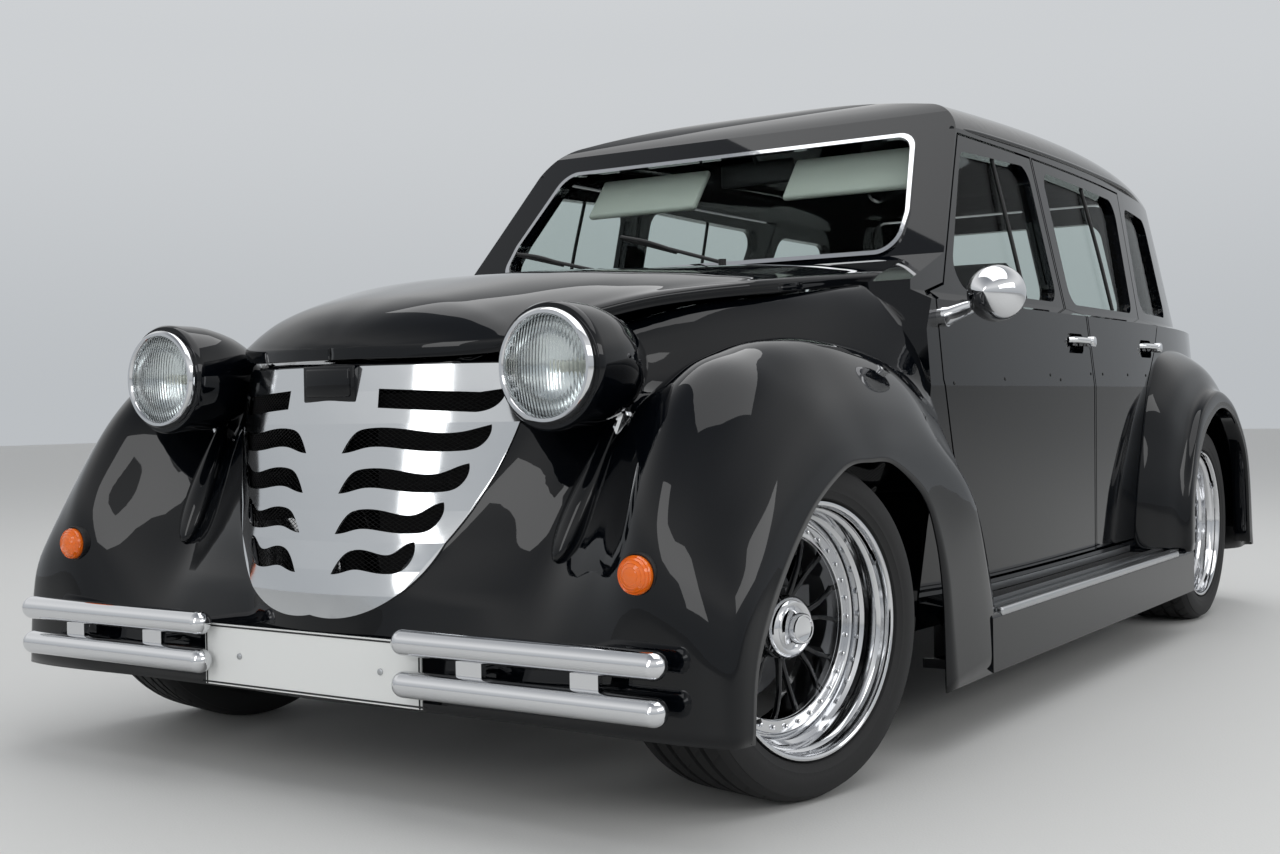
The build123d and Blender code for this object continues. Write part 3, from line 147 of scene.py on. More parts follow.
for stop, tone in ((0.22, "#D6D9DC"), (0.45, "#FAFBFC")):
    step = wall_tone.color_ramp.elements.new(stop)
    step.color = linear(tone)
LIGHTS_AIM = Vector((0.3, 0, 0.6))
SOFTBOXES = (
    # name, place, width and depth, watts
    ("overhead_softbox", (-0.4, 0.4, 6.2), (9.0, 5.0), 235),
    ("left_softbox", (1.2, 8.0, 4.0), (8.0, 2.2), 125),
    ("front_softbox", (9.0, 0.2, 4.4), (2.2, 6.0), 105))
for name, place, size, power in SOFTBOXES:
    lamp = bpy.data.lights.new(name, "AREA")
    lamp.shape = "RECTANGLE"
    lamp.size, lamp.size_y = size
    lamp.energy = power
    holder = bpy.data.objects.new(name, lamp)
    scene.collection.objects.link(holder)
    holder.location = place
    holder.rotation_mode = "QUATERNION"
    holder.rotation_quaternion = (LIGHTS_AIM - Vector(place)).to_track_quat("-Z", "Y")
scene.view_settings.view_transform = "Standard"

# Coachwork: pressed steel under two-pack black enamel, polished, so it mirrors the room with a
# faint blue in the highlights. Its trace of orange peel is drawn wider than the real one.


def wear(material, names):
    """Puts the material on CAD nodes."""
    for name in names:
        nodes[name].data.materials.clear()
        nodes[name].data.materials.append(material)


black_enamel, black_shader = finish_of("black_coach_enamel", "#04060A", 0.3, 0.0, {
    "Specular IOR Level": 0.0, "Coat Weight": 1.0, "Coat Roughness": 0.02, "Coat IOR": 1.42})
surface_noise(black_enamel, black_shader, 16.7, 0.04, 1.0)
wear(black_enamel, ["body_sides", "tail_panel", "door_front_left", "door_front_right", "door_rear_left",
                    "door_rear_right", "roof_panel", "screen_frame", "tailgate", "running_boards"])

# Nose and front wings: beaten and welded into one flowing sheet on each side, from the rounded nose
# over the crests of the wings to the scuttle, with a flared edge round each wheel and a hole
# behind the grille.


def worn_by(piece, body):
    """The piece rides on a body."""
    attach(piece, body)
    return piece


def mesh_piece(name, points, faces, material, body, smooth=True):
    """New object with its place in its mesh, riding on a body."""
    mesh = bpy.data.meshes.new(name)
    mesh.from_pydata([tuple(p) for p in points], [], faces)
    mesh.materials.append(material)
    piece = bpy.data.objects.new(name, mesh)
    scene.collection.objects.link(piece)
    if smooth:
        mesh.shade_smooth()
    return worn_by(piece, body)


def picked(*pieces):
    """Selects these pieces alone, the first one active."""
    bpy.ops.object.select_all(action="DESELECT")
    for piece in pieces:
        piece.select_set(True)
    bpy.context.view_layer.objects.active = pieces[0]


def applied(piece, kind, **settings):
    """Adds a modifier to the piece and applies it."""
    picked(piece)
    modifier = piece.modifiers.new(kind.title(), kind)
    for key, value in settings.items():
        setattr(modifier, key, value)
    bpy.ops.object.modifier_apply(modifier=modifier.name)


def eased(before, start, end, after, t):
    """Point on a smooth curve through start and end."""
    return ((-t + 2 * t * t - t ** 3) / 2 * before + (2 - 5 * t * t + 3 * t ** 3) / 2 * start +
            (t + 4 * t * t - 3 * t ** 3) / 2 * end + (t ** 3 - t * t) / 2 * after)


def finer(row, count):
    """Row of points with count steps from each to the next, on a smooth curve, level at the middle."""
    last = len(row) - 1
    ahead_of_first = 2 * row[0] - row[1]
    if abs(row[0].y) < 1e-6:
        ahead_of_first = Vector((row[1].x, -row[1].y, row[1].z))
    result = []
    for number in range(last):
        before = row[number - 1] if number else ahead_of_first
        after = row[number + 2] if number + 2 <= last else 2 * row[last] - row[last - 1]
        result += [eased(before, row[number], row[number + 1], after, step / count)
                   for step in range(count)]
    return result + [row[last]]


def skin(name, rows, material, body, along=6, across=5):
    """Smooth sheet through rows of as many points each, with steps along and across the rows."""
    rows = [finer([Vector(p) for p in row], across) for row in rows]
    columns = [finer(list(column), along) for column in zip(*rows)]
    high, wide = len(columns[0]), len(columns)
    points = [columns[c][r] for r in range(high) for c in range(wide)]
    faces = [(r * wide + c, r * wide + c + 1, (r + 1) * wide + c + 1, (r + 1) * wide + c)
             for r in range(high - 1) for c in range(wide - 1)]
    return mesh_piece(name, points, faces, material, body)


def mirrored_and_walled(piece, wall, merge=True):
    """Adds the right-hand half, turns the faces outwards and gives the sheet its wall."""
    applied(piece, "MIRROR", use_axis=(False, True, False), use_clip=merge, use_mirror_merge=merge,
            merge_threshold=0.0005)
    applied(piece, "SOLIDIFY", thickness=wall, offset=-1.0)


def half_opening(z, foot, foot_half, most):
    """Half width at height z of an opening that widens from its foot."""
    return min(most, foot_half + OPENING_SLOPE * (z - foot))


SHEET_WALL, OPENING_SLOPE = .004, .62
NOSE_FROM_X, NOSE_TOP, NOSE_HALF, NOSE_FADE = 1.5, .741, .44, .10
HOLE_FOOT, HOLE_TOP, HOLE_FOOT_HALF, HOLE_MOST = .365, .70, .150, .315
FRONT_SHEET = (
    # Each row runs from the middle of the car out to the flare; the rows run from chin to scuttle.
    ((1.713, 0, .158), (1.703, .16, .158), (1.703, .28, .158), (1.702, .38, .158), (1.702, .48, .158),
     (1.707, .58, .158), (1.711, .66, .158), (1.710, .74, .158), (1.703, .80, .158), (1.690, .832, .158),
     (1.653, .842, .158)),
    ((1.718, 0, .25), (1.698, .158, .25), (1.694, .26, .252), (1.688, .37, .255), (1.684, .47, .26),
     (1.692, .57, .27), (1.708, .66, .28), (1.708, .74, .28), (1.698, .80, .28), (1.682, .832, .275),
     (1.640, .842, .262)),
    ((1.714, 0, .335), (1.698, .13, .335), (1.682, .19, .34), (1.660, .33, .342), (1.645, .45, .345),
     (1.665, .56, .37), (1.700, .66, .39), (1.698, .74, .385), (1.682, .80, .375), (1.660, .832, .36),
     (1.600, .842, .335)),
    ((1.700, 0, .425), (1.681, .145, .425), (1.641, .25, .43), (1.610, .36, .43), (1.590, .45, .435),
     (1.622, .56, .47), (1.680, .66, .485), (1.668, .74, .47), (1.640, .80, .45), (1.600, .832, .428),
     (1.545, .842, .405)),
    ((1.687, 0, .51), (1.663, .162, .51), (1.602, .290, .51), (1.568, .38, .51), (1.545, .46, .515),
     (1.582, .56, .565), (1.640, .66, .575), (1.625, .74, .55), (1.585, .80, .515), (1.545, .830, .486),
     (1.495, .842, .455)),
    ((1.673, 0, .60), (1.645, .175, .60), (1.566, .330, .60), (1.528, .40, .59), (1.498, .465, .585),
     (1.535, .56, .645), (1.585, .66, .660), (1.565, .74, .630), (1.52, .80, .578), (1.478, .830, .533),
     (1.44, .842, .50)),
    ((1.659, 0, .68), (1.630, .178, .68), (1.551, .332, .68), (1.490, .40, .665), (1.440, .47, .64),
     (1.465, .575, .700), (1.515, .67, .718), (1.49, .745, .690), (1.44, .80, .632), (1.405, .830, .576),
     (1.375, .842, .535)),
    ((1.650, 0, .734), (1.621, .176, .734), (1.549, .316, .734), (1.455, .387, .715), (1.385, .47, .665),
     (1.40, .585, .728), (1.43, .675, .746), (1.405, .745, .722), (1.375, .80, .660), (1.345, .830, .596),
     (1.32, .842, .554)),
    ((1.60, 0, .740), (1.575, .16, .740), (1.495, .298, .742), (1.39, .382, .765), (1.30, .475, .675),
     (1.31, .590, .745), (1.325, .68, .766), (1.305, .75, .740), (1.285, .80, .672), (1.265, .830, .602),
     (1.25, .842, .556)),
    ((1.25, .15, .76), (1.22, .28, .79), (1.20, .425, .835), (1.20, .462, .815), (1.19, .525, .695),
     (1.185, .61, .752), (1.18, .690, .771), (1.17, .755, .745), (1.165, .805, .670), (1.16, .832, .600),
     (1.155, .842, .548)),
    ((1.02, .2, .80), (1.01, .35, .83), (1.0, .495, .862), (1.0, .545, .842), (.995, .60, .715),
     (.99, .66, .738), (.985, .720, .746), (.985, .770, .706), (.99, .812, .635), (1.005, .833, .572),
     (1.03, .842, .485)),
    ((.86, .25, .82), (.86, .40, .85), (.86, .530, .880), (.86, .585, .862), (.855, .668, .74),
     (.850, .712, .708), (.845, .750, .675), (.86, .787, .625), (.88, .815, .575), (.90, .834, .532),
     (.975, .842, .405)),
    ((.77, .3, .84), (.77, .43, .86), (.77, .555, .892), (.77, .612, .872), (.768, .706, .76),
     (.760, .742, .660), (.752, .764, .590), (.765, .790, .542), (.78, .818, .50), (.802, .836, .462),
     (.948, .842, .31)),
    ((.752, .3, .84), (.752, .43, .86), (.752, .56, .895), (.752, .616, .874), (.748, .712, .76),
     (.728, .744, .520), (.700, .766, .430), (.706, .790, .395), (.72, .820, .372), (.738, .836, .365),
     (.940, .842, .21)),
    ((.748, .3, .84), (.748, .43, .86), (.748, .56, .895), (.748, .616, .874), (.744, .712, .755),
     (.690, .742, .300), (.648, .764, .150), (.640, .790, .128), (.640, .815, .121), (.648, .836, .119),
     (.939, .8425, .118)))
front_sheet = skin("front_body_sheet", FRONT_SHEET, black_enamel, "shell")
sheet = bmesh.new()
sheet.from_mesh(front_sheet.data)
behind_grille = []
for face in sheet.faces:
    x, y, z = face.calc_center_median()
    if x > NOSE_FROM_X and HOLE_FOOT < z < HOLE_TOP:
        if y < half_opening(z, HOLE_FOOT, HOLE_FOOT_HALF, HOLE_MOST):
            behind_grille.append(face)
bmesh.ops.delete(sheet, geom=behind_grille, context="FACES")
sheet.to_mesh(front_sheet.data)
sheet.free()
nose_part = front_sheet.vertex_groups.new(name="nose")
for vert in front_sheet.data.vertices:
    if vert.co.x > NOSE_FROM_X and vert.co.z < NOSE_TOP:
        pull = min(1, max(0, (NOSE_HALF - vert.co.y) / NOSE_FADE))
        nose_part.add([vert.index], pull, "REPLACE")
applied(front_sheet, "SHRINKWRAP", target=nodes["nose_panel"], wrap_method="NEAREST_SURFACEPOINT",
        vertex_group="nose")
mirrored_and_walled(front_sheet, SHEET_WALL)
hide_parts("front_wings", "nose_panel")

# Bonnet: one broad steel pressing with a full round front lip and rolled sides, in the same enamel
# as the body and hinged at the front.
BONNET_ROWS = (
    # x, edge half width, edge height, crown height
    (.551, .585, .932, .970), (.75, .566, .915, .957), (1.01, .532, .890, .936),
    (1.20, .470, .868, .922), (1.32, .424, .848, .906), (1.44, .370, .816, .881),
    (1.52, .337, .788, .862), (1.562, .316, .774, .848), (1.600, .252, .768, .830),
    (1.628, .175, .766, .810), (1.645, .105, .766, .790), (1.652, .045, .766, .775),
    (1.6535, .001, .766, .7665))
SHARES_OF_HALF = (0, .25, .5, .72, .87, .96, 1)
ROLLED_SIDE = ((.001, -.010), (0, -.020))
bonnet_rows = []
for x, half, edge, crown in BONNET_ROWS:
    top = [(x, share * half, edge + (crown - edge) * (1 - share ** 3)) for share in SHARES_OF_HALF]
    bonnet_rows.append(top + [(x, half + out, edge + down) for out, down in ROLLED_SIDE])
bonnet_sheet = skin("bonnet_sheet", bonnet_rows, black_enamel, "bonnet")
mirrored_and_walled(bonnet_sheet, SHEET_WALL)
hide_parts("bonnet")

# Rear wings: welded pontoons like the front ones, swept over the wheel from the sill to the tail,
# with a rolled flare at the opening.
WING_WALL = .003
REAR_WING_AT = Vector((-1.140, 0, .285))
REAR_WING_ROWS = (
    # angle, inner radius, crown radius, crown y, ridge radius
    (-8, .470, .482, .730, .392), (14, .480, .492, .730, .392), (30, .510, .524, .728, .394),
    (43, .560, .582, .724, .402), (58, .560, .586, .716, .408), (80, .490, .527, .706, .400),
    (100, .470, .504, .700, .388), (122, .440, .474, .696, .380), (151, .460, .489, .700, .380),
    (194, .510, .524, .706, .400))
wing_rows = []
for angle, inner, crown, crown_y, ridge in REAR_WING_ROWS:
    out = Vector((math.cos(math.radians(angle)), 0, math.sin(math.radians(angle))))
    shoulder = crown - (crown - ridge) * .42
    # Radius and y of each point, from inside the body over the crown to the rolled flare.
    profile = ((inner - .02, .575), (inner + .008, .64), (crown, crown_y), (shoulder, .786),
               (ridge + .004, .822), (ridge - .012, .848), (.346, .850), (.338, .844), (.338, .80))
    wing_rows.append([REAR_WING_AT + out * radius + Vector((0, y, 0)) for radius, y in profile])
rear_wing = skin("rear_wing_sheet", wing_rows, black_enamel, "shell", along=7)
mirrored_and_walled(rear_wing, WING_WALL, merge=False)
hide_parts("rear_wings")

# Bright trim: the bumper tubes, the windscreen's surround and the mirror shells are chromium-plated
# steel and brass. The plating mirrors the room, with the faint waves that polishing leaves.
chrome_plate, chrome_shader = finish_of("chromium_plate", "#DDDEE0", 0.05, 1.0)
surface_noise(chrome_plate, chrome_shader, 22.2, 0.06, 1.0)
wear(chrome_plate, ["front_bumper", "rear_bumper", "windscreen_trim", "mirror_left", "mirror_right"])

# Grille plate: polished stainless sheet with a faint grain, bent round the nose, its slots cut by
# jet and dressed by hand.
stainless, stainless_shader = finish_of("polished_stainless_sheet", "#D6D8DA", 0.10, 1.0)
surface_noise(stainless, stainless_shader, 33.3, 0.1, 1.0, 0.07, 0.13)
wear(stainless, ["grille_plate"])

# Mesh behind the slots: expanded steel with long diamonds, clipped to the nose. Its black paint is
# half dull, so that only the edges of the strands catch the light.
mesh_black, mesh_shader = finish_of("expanded_mesh_black", "#1A1A1B", 0.38)
surface_noise(mesh_black, mesh_shader, 2.0, 0.2)
DIAMOND_WIDE, DIAMOND_HIGH, DIAMONDS = 0.0125, 0.0072, 104
STRAND = 0.0016
MESH_MIDDLE, MESH_BACK, NOSE_ROUND = .53, .012, .555
MESH_FOOT, MESH_TOP = .352, .708
# Height from which the mesh widens, its half width there and its greatest half width.
MESH_OPENING = (.36, .165, .325)
# Height and x of the nose's front line.
NOSE_LINE = ((.30, 1.716), (.384, 1.707), (.485, 1.690), (.60, 1.673), (.742, 1.648))
bpy.ops.object.select_all(action="DESELECT")
bpy.ops.mesh.primitive_grid_add(x_subdivisions=DIAMONDS, y_subdivisions=DIAMONDS, size=DIAMONDS)
diamond_mesh = bpy.context.object
diamond_mesh.name = diamond_mesh.data.name = "grille_diamond_mesh"
grid = bmesh.new()
grid.from_mesh(diamond_mesh.data)
for vert in grid.verts:
    y = (vert.co.x - vert.co.y) * DIAMOND_WIDE / 2
    z = MESH_MIDDLE + (vert.co.x + vert.co.y) * DIAMOND_HIGH / 2
    line_x = NOSE_LINE[0][1]
    for (low_z, low_x), (high_z, high_x) in zip(NOSE_LINE, NOSE_LINE[1:]):
        if z >= low_z:
            line_x = low_x + (high_x - low_x) * (z - low_z) / (high_z - low_z)
    set_back = NOSE_ROUND - math.sqrt(NOSE_ROUND ** 2 - min(y * y, .2))
    vert.co = (line_x - MESH_BACK - set_back, y, z)
outside = []
for face in grid.faces:
    x, y, z = face.calc_center_median()
    if not MESH_FOOT < z < MESH_TOP or abs(y) > half_opening(z, *MESH_OPENING):
        outside.append(face)
bmesh.ops.delete(grid, geom=outside, context="FACES")
grid.to_mesh(diamond_mesh.data)
grid.free()
diamond_mesh.data.materials.append(mesh_black)
applied(diamond_mesh, "WIREFRAME", thickness=STRAND, use_even_offset=False)
worn_by(diamond_mesh, "shell")
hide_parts("grille_mesh")

# Plaque above the grille: a small glossy tile in a rounded frame, both in the body's black enamel
# and screwed to the nose. It carries no mark.


def block(name, low, high, bevel, material, body, segments=3):
    """Rectangular piece between two corners with rounded edges."""
    bpy.ops.object.select_all(action="DESELECT")
    bpy.ops.mesh.primitive_cube_add(size=1)
    piece = bpy.context.object
    piece.name = piece.data.name = name
    low, high = Vector(low), Vector(high)
    piece.data.transform(Matrix.Translation((low + high) / 2) @ Matrix.Diagonal((*(high - low), 1)))
    piece.data.materials.append(material)
    applied(piece, "BEVEL", width=bevel, segments=segments, limit_method="NONE")
    bpy.ops.object.shade_smooth_by_angle(angle=math.radians(40))
    return worn_by(piece, body)


for name, low, high, rounding in (
        ("plaque_frame", (1.640, -.062, .672), (1.665, .062, .736), .003),
        ("plaque_tile", (1.655, -.053, .681), (1.6690, .053, .731), .004)):
    block(name, low, high, rounding, black_enamel, "shell")

# Lamps: spun steel pods in body black with a chromed rim, a silvered bowl, a bulb on its cap and
# a domed lens with fine upright flutes.


def spun(name, profile, place, steps, material, smooth_angle=35):
    """Profile of (radius, height) points turned once round its axis, then put in place."""
    mesh = bpy.data.meshes.new(name)
    mesh.from_pydata([(radius, 0, height) for radius, height in profile],
                     [(number, number + 1) for number in range(len(profile) - 1)], [])
    piece = bpy.data.objects.new(name, mesh)
    scene.collection.objects.link(piece)
    picked(piece)
    bpy.ops.object.mode_set(mode="EDIT")
    bpy.ops.mesh.select_all(action="SELECT")
    bpy.ops.mesh.spin(steps=steps, angle=2 * math.pi, center=(0, 0, 0), axis=(0, 0, 1))
    bpy.ops.mesh.select_all(action="SELECT")
    bpy.ops.mesh.remove_doubles(threshold=0.00002)
    bpy.ops.mesh.normals_make_consistent(inside=False)
    bpy.ops.object.mode_set(mode="OBJECT")
    mesh.materials.append(material)
    bpy.ops.object.shade_smooth_by_angle(angle=math.radians(smooth_angle))
    mesh.transform(place)
    return piece


def arc(radius, low, high, count):
    """Points of a cap from its rim at height low to its top on the axis at height high."""
    rise = high - low
    ball = (radius ** 2 + rise ** 2) / (2 * rise)
    half = math.asin(radius / ball)
    angles = [half * (1 - step / count) for step in range(count)]
    cap = [(ball * math.sin(angle), high - ball + ball * math.cos(angle)) for angle in angles]
    return cap + [(0, high)]


def facing_along(place, way):
    """Places a spun piece with its axis forwards, or backwards where the way is -1."""
    return Matrix.Translation(place) @ Matrix.Rotation(way * math.radians(90), 4, "Y")


SIDES = ((1, "left"), (-1, "right"))
LAMP_AT = Vector((1.640, .465, .723))
POD = ((0, -.235), (.018, -.2315), (.036, -.222), (.054, -.205), (.068, -.186), (.080, -.162),
       (.090, -.138), (.097, -.112), (.1025, -.085), (.105, -.058), (.105, -.012), (.1045, -.004),
       (.1015, .001), (.0935, .001), (.0935, -.004), (.088, -.010), (.080, -.035), (.060, -.060),
       (0, -.075), (0, -.235))
RIM = ((.0800, .002), (.0925, .000), (.0945, .004), (.0935, .011), (.0895, .0155), (.0845, .0155),
       (.0810, .011), (.0800, .002))
BOWL = ((0, -.061), (.0250, -.058), (.0460, -.050), (.0640, -.036), (.0760, -.020), (.0815, -.006),
        (.0825, .001), (.0835, .001), (.0827, -.0065), (.0771, -.0208), (.0649, -.0372), (.0467, -.0514),
        (.0254, -.0594), (0, -.0625))
LENS = [(.0822, .002), (.0822, .006)] + arc(.0805, .0075, .0235, 10) + [
    (0, .0205), (.045, .016), (.0795, .004), (.0822, .002)]
BULB = [(0, -.06), (.009, -.058), (.009, -.040)] + arc(.011, -.034, -.018, 6)
# Silvered brass: bright but a little clouded, so the bowl glows softly behind its lens.
bowl_silver, bowl_shader = finish_of("silvered_lamp_bowl", "#E8E9EA", 0.16, 1.0)
surface_noise(bowl_silver, bowl_shader, 16.7, 0.2, 1.0)
# Pressed glass: clear, with flutes that draw the bowl behind it into upright stripes. Its index is
# under that of real glass, so that the bowl stays in view.
FLUTE_WIDE = .00655
fluted_glass, fluted_shader = finish_of("fluted_lamp_glass", "#F2F6F6", 0.03, 0.0, {
    "Transmission Weight": 1.0, "IOR": 1.22})
flute_place = add(fluted_glass, "ShaderNodeTexCoord")
flutes = add(fluted_glass, "ShaderNodeTexWave",
             {"wave_type": "BANDS", "bands_direction": "Y", "Scale": math.pi / 10 / FLUTE_WIDE},
             {"Vector": flute_place.outputs["Object"]})
flute_bump = add(fluted_glass, "ShaderNodeBump", {"Strength": 0.7, "Distance": 0.0012},
                 {"Height": flutes.outputs["Fac"]})
fluted_glass.node_tree.links.new(flute_bump.outputs["Normal"], fluted_shader.inputs["Normal"])
# Frosted glass: pale and soft, with no sharp highlight.
frosted_bulb, bulb_shader = finish_of("frosted_bulb_glass", "#F4F2E6", 0.25)
surface_noise(frosted_bulb, bulb_shader, 3.3, 0.2)
for side, name in SIDES:
    lamp_place = facing_along((LAMP_AT.x, side * LAMP_AT.y, LAMP_AT.z), 1)
    pod = worn_by(spun(f"lamp_pod_{name}", POD, lamp_place, 96, black_enamel), "shell")
    rim = worn_by(spun(f"lamp_rim_{name}", RIM, lamp_place, 96, chrome_plate), "shell")
    worn_by(spun(f"lamp_bowl_{name}", BOWL, lamp_place, 72, bowl_silver), "shell")
    lens = worn_by(spun(f"lamp_lens_{name}", LENS, lamp_place, 72, fluted_glass), "shell")
    worn_by(spun(f"lamp_bulb_{name}", BULB, lamp_place, 24, frosted_bulb), "shell")
    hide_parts("lamp_pods")
    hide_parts("lamp_rims")
    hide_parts("lamp_lenses")

# Lamp brackets: a turned steel bolt under each pod, and the long teardrop fairing that carries the
# pod down into the valley beside the nose.


def pointing(spot, way):
    """Places a piece at the spot with its axis along the way."""
    return Matrix.Translation(spot) @ way.to_track_quat("Z", "X").to_matrix().to_4x4()


LAMP_BOLT = [(0, -.030), (.011, -.030), (.011, -.006), (.017, -.006), (.017, .008), (.010, .012),
             (.010, .030), (0, .030)]
BOLT_X, BOLT_Y, BOLT_Z, BOLT_LEAN = 1.486, .502, .640, math.radians(-24)
FAIRING_AT, FAIRING_WAY = (1.540, .468, .530), Vector((.125, -.030, -.215))
FAIRING_HALF = (.026, .036, .145)
# Share of the full width at the fairing's middle, and what is added to it at the lower end.
FAIRING_MIDDLE, FAIRING_SWELL = .72, .28
for side, name in SIDES:
    bolt_place = Matrix.Translation((BOLT_X, side * BOLT_Y, BOLT_Z)) @ Matrix.Rotation(
        side * BOLT_LEAN, 4, "X")
    worn_by(spun(f"lamp_bolt_{name}", LAMP_BOLT, bolt_place, 12, chrome_plate, 20), "shell")
    bpy.ops.object.select_all(action="DESELECT")
    bpy.ops.mesh.primitive_uv_sphere_add(segments=40, ring_count=28, radius=1)
    fairing = bpy.context.object
    fairing.name = fairing.data.name = f"lamp_fairing_{name}"
    for vert in fairing.data.vertices:
        narrowing = FAIRING_MIDDLE + FAIRING_SWELL * vert.co.z
        vert.co = (vert.co.x * narrowing, vert.co.y * narrowing, vert.co.z)
    fairing.data.transform(pointing(FAIRING_AT, FAIRING_WAY) @ Matrix.Diagonal((*FAIRING_HALF, 1)))
    if side < 0:
        fairing.data.transform(Matrix.Diagonal((1, -1, 1, 1)))
        fairing.data.flip_normals()
    fairing.data.materials.append(black_enamel)
    fairing.data.shade_smooth()
    worn_by(fairing, "shell")

# Front indicators and tail lamps: moulded acrylic lenses on black rubber seats. Each lens has
# stepped rings and a deep colour with a hard shine on them.
amber_lens, amber_shader = finish_of("moulded_amber_lens", "#FF7A1E", 0.12, 0.0, {
    "Coat Weight": 0.6, "Transmission Weight": 0.2, "IOR": 1.4})
surface_noise(amber_lens, amber_shader, 5.0, 0.3)
red_lens, red_shader = finish_of("moulded_red_lens", "#8E0F12", 0.10, 0.0, {
    "Coat Weight": 0.6, "Transmission Weight": 0.25, "IOR": 1.3})
surface_noise(red_lens, red_shader, 5.0, 0.3)
# Moulded rubber: a deep dull black with hardly any highlight.
seat_rubber, seat_shader = finish_of("lamp_seat_rubber", "#0E0E0F", 0.55)
surface_noise(seat_rubber, seat_shader, 2.86, 0.3)
LENS_RINGS = [(.030, .0), (.030, .006), (.0285, .0095), (.0275, .0088), (.0245, .0135), (.0235, .0128),
              (.0195, .0165), (.0185, .0158), (.0135, .0185), (.0125, .0178), (.007, .0195),
              (0, .020), (0, 0), (.030, 0)]
LENS_SEAT = [(0, -.045), (.035, -.045), (.035, -.003), (.0335, .001), (.0315, .001), (.0305, -.002),
             (0, -.002), (0, -.045)]
SMALL_LAMPS = (
    # x, y, z, way it faces, lens
    (1.702, .670, .404, 1, amber_lens),
    (-1.684, .560, .560, -1, red_lens),
    (-1.684, .560, .640, -1, amber_lens))
for number, (x, y, z, way, lens_material) in enumerate(SMALL_LAMPS):
    for side, name in SIDES:
        lamp_place = facing_along((x, side * y, z), way)
        lens = worn_by(spun(f"small_lens_{number}_{name}", LENS_RINGS, lamp_place, 48, lens_material, 20),
                       "shell")
        worn_by(spun(f"small_lamp_seat_{number}_{name}", LENS_SEAT, lamp_place, 48, seat_rubber),
                "shell")
        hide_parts("small_lamps")

# Glass: toughened panes in rubber channels, clear with a slight green-grey tint. Their index is near
# that of air, so that the cabin stays in view with hardly any shift.
pane_glass, pane_shader = finish_of("toughened_pane", "#E3EAE8", 0.02, 0.0, {
    "Transmission Weight": 1.0, "IOR": 1.05})
surface_noise(pane_glass, pane_shader, 167.0, 0.05, 1.0)
wear(pane_glass, ["windscreen", "fixed_glass", "glass_front_left", "glass_front_right", "glass_rear_left",
                  "glass_rear_right", "tailgate_glass"])

# Tyres: wide black rubber with a dull bloom, four grooves round the tread, fine cuts across it and
# raised rings on the wall.
TYRE_RADIUS, TREAD_FROM, TREAD_HALF, CUTS_APART = .283, .272, .088, .0449
tyre_rubber, tyre_shader = finish_of("tyre_rubber", "#161617", 0.72)
surface_noise(tyre_rubber, tyre_shader, 5.6, 0.3)
# The tread is the same rubber worn duller, and its cuts are pressed in along its own map.
tread_rubber, tread_shader = finish_of("tyre_tread_rubber", "#141415", 0.82)
tread_map = add(tread_rubber, "ShaderNodeUVMap", {"uv_map": "tread"})
tread_cuts = add(tread_rubber, "ShaderNodeTexWave",
                 {"wave_type": "BANDS", "bands_direction": "DIAGONAL", "wave_profile": "SAW",
                  "Scale": math.pi / 5 / CUTS_APART}, {"Vector": tread_map.outputs["UV"]})
cut_edge = add(tread_rubber, "ShaderNodeMapRange", {"From Min": 0.0, "From Max": 0.14},
               {"Value": tread_cuts.outputs["Fac"]})
tread_bump = add(tread_rubber, "ShaderNodeBump", {"Strength": 1.0, "Distance": 0.003},
                 {"Height": cut_edge.outputs["Result"]})
tread_rubber.node_tree.links.new(tread_bump.outputs["Normal"], tread_shader.inputs["Normal"])
# Half of the tyre's section as radius and height from its middle, from the tread to the bead.
HALF_TYRE = [(.283, 0), (.283, .016), (.277, .0175), (.277, .0255), (.283, .027), (.283, .050),
             (.277, .0515), (.277, .0595), (.283, .061), (.2826, .074), (.2795, .087), (.2735, .0965),
             (.2705, .0995), (.2700, .1020), (.2640, .1045), (.2500, .1070), (.2400, .1073),
             (.2380, .1066), (.2310, .1064), (.2290, .1050), (.2215, .1020), (.2190, .1015),
             (.2165, .0970), (.2155, .0890), (.2035, .0850)]
INNER_HALF = [(radius, -height) for radius, height in reversed(HALF_TYRE[1:])]
TYRE = INNER_HALF + HALF_TYRE + [INNER_HALF[0]]
tyre = spun("tyre_ring", TYRE, Matrix(), 120, tyre_rubber, 25)
tyre.data.materials.append(tread_rubber)
tread_uv = tyre.data.uv_layers.new(name="tread")
for face in tyre.data.polygons:
    centre = face.center
    if math.hypot(centre.x, centre.y) > TREAD_FROM and abs(centre.z) < TREAD_HALF:
        face.material_index = 1
    for loop in face.loop_indices:
        corner = tyre.data.vertices[tyre.data.loops[loop].vertex_index].co
        turn = math.atan2(corner.y, corner.x)
        if turn - math.atan2(centre.y, centre.x) > math.pi:
            turn -= 2 * math.pi
        elif turn - math.atan2(centre.y, centre.x) < -math.pi:
            turn += 2 * math.pi
        tread_uv.data[loop].uv = (turn * TYRE_RADIUS, corner.z)

# Wheels: spun aluminium rim in polished steps, a ring of small bolts, and a black centre with thin
# spokes in pairs behind a chromed centre cap. The brake disc shows between the spokes.
spun_alloy, alloy_shader = finish_of("polished_spun_aluminium", "#D8D9DB", 0.09, 1.0)
surface_noise(spun_alloy, alloy_shader, 12.5, 0.03)
# Ground iron: grey and satin.
disc_iron, disc_shader = finish_of("ground_disc_iron", "#6E6F70", 0.35, 1.0)
surface_noise(disc_iron, disc_shader, 6.7, 0.2)
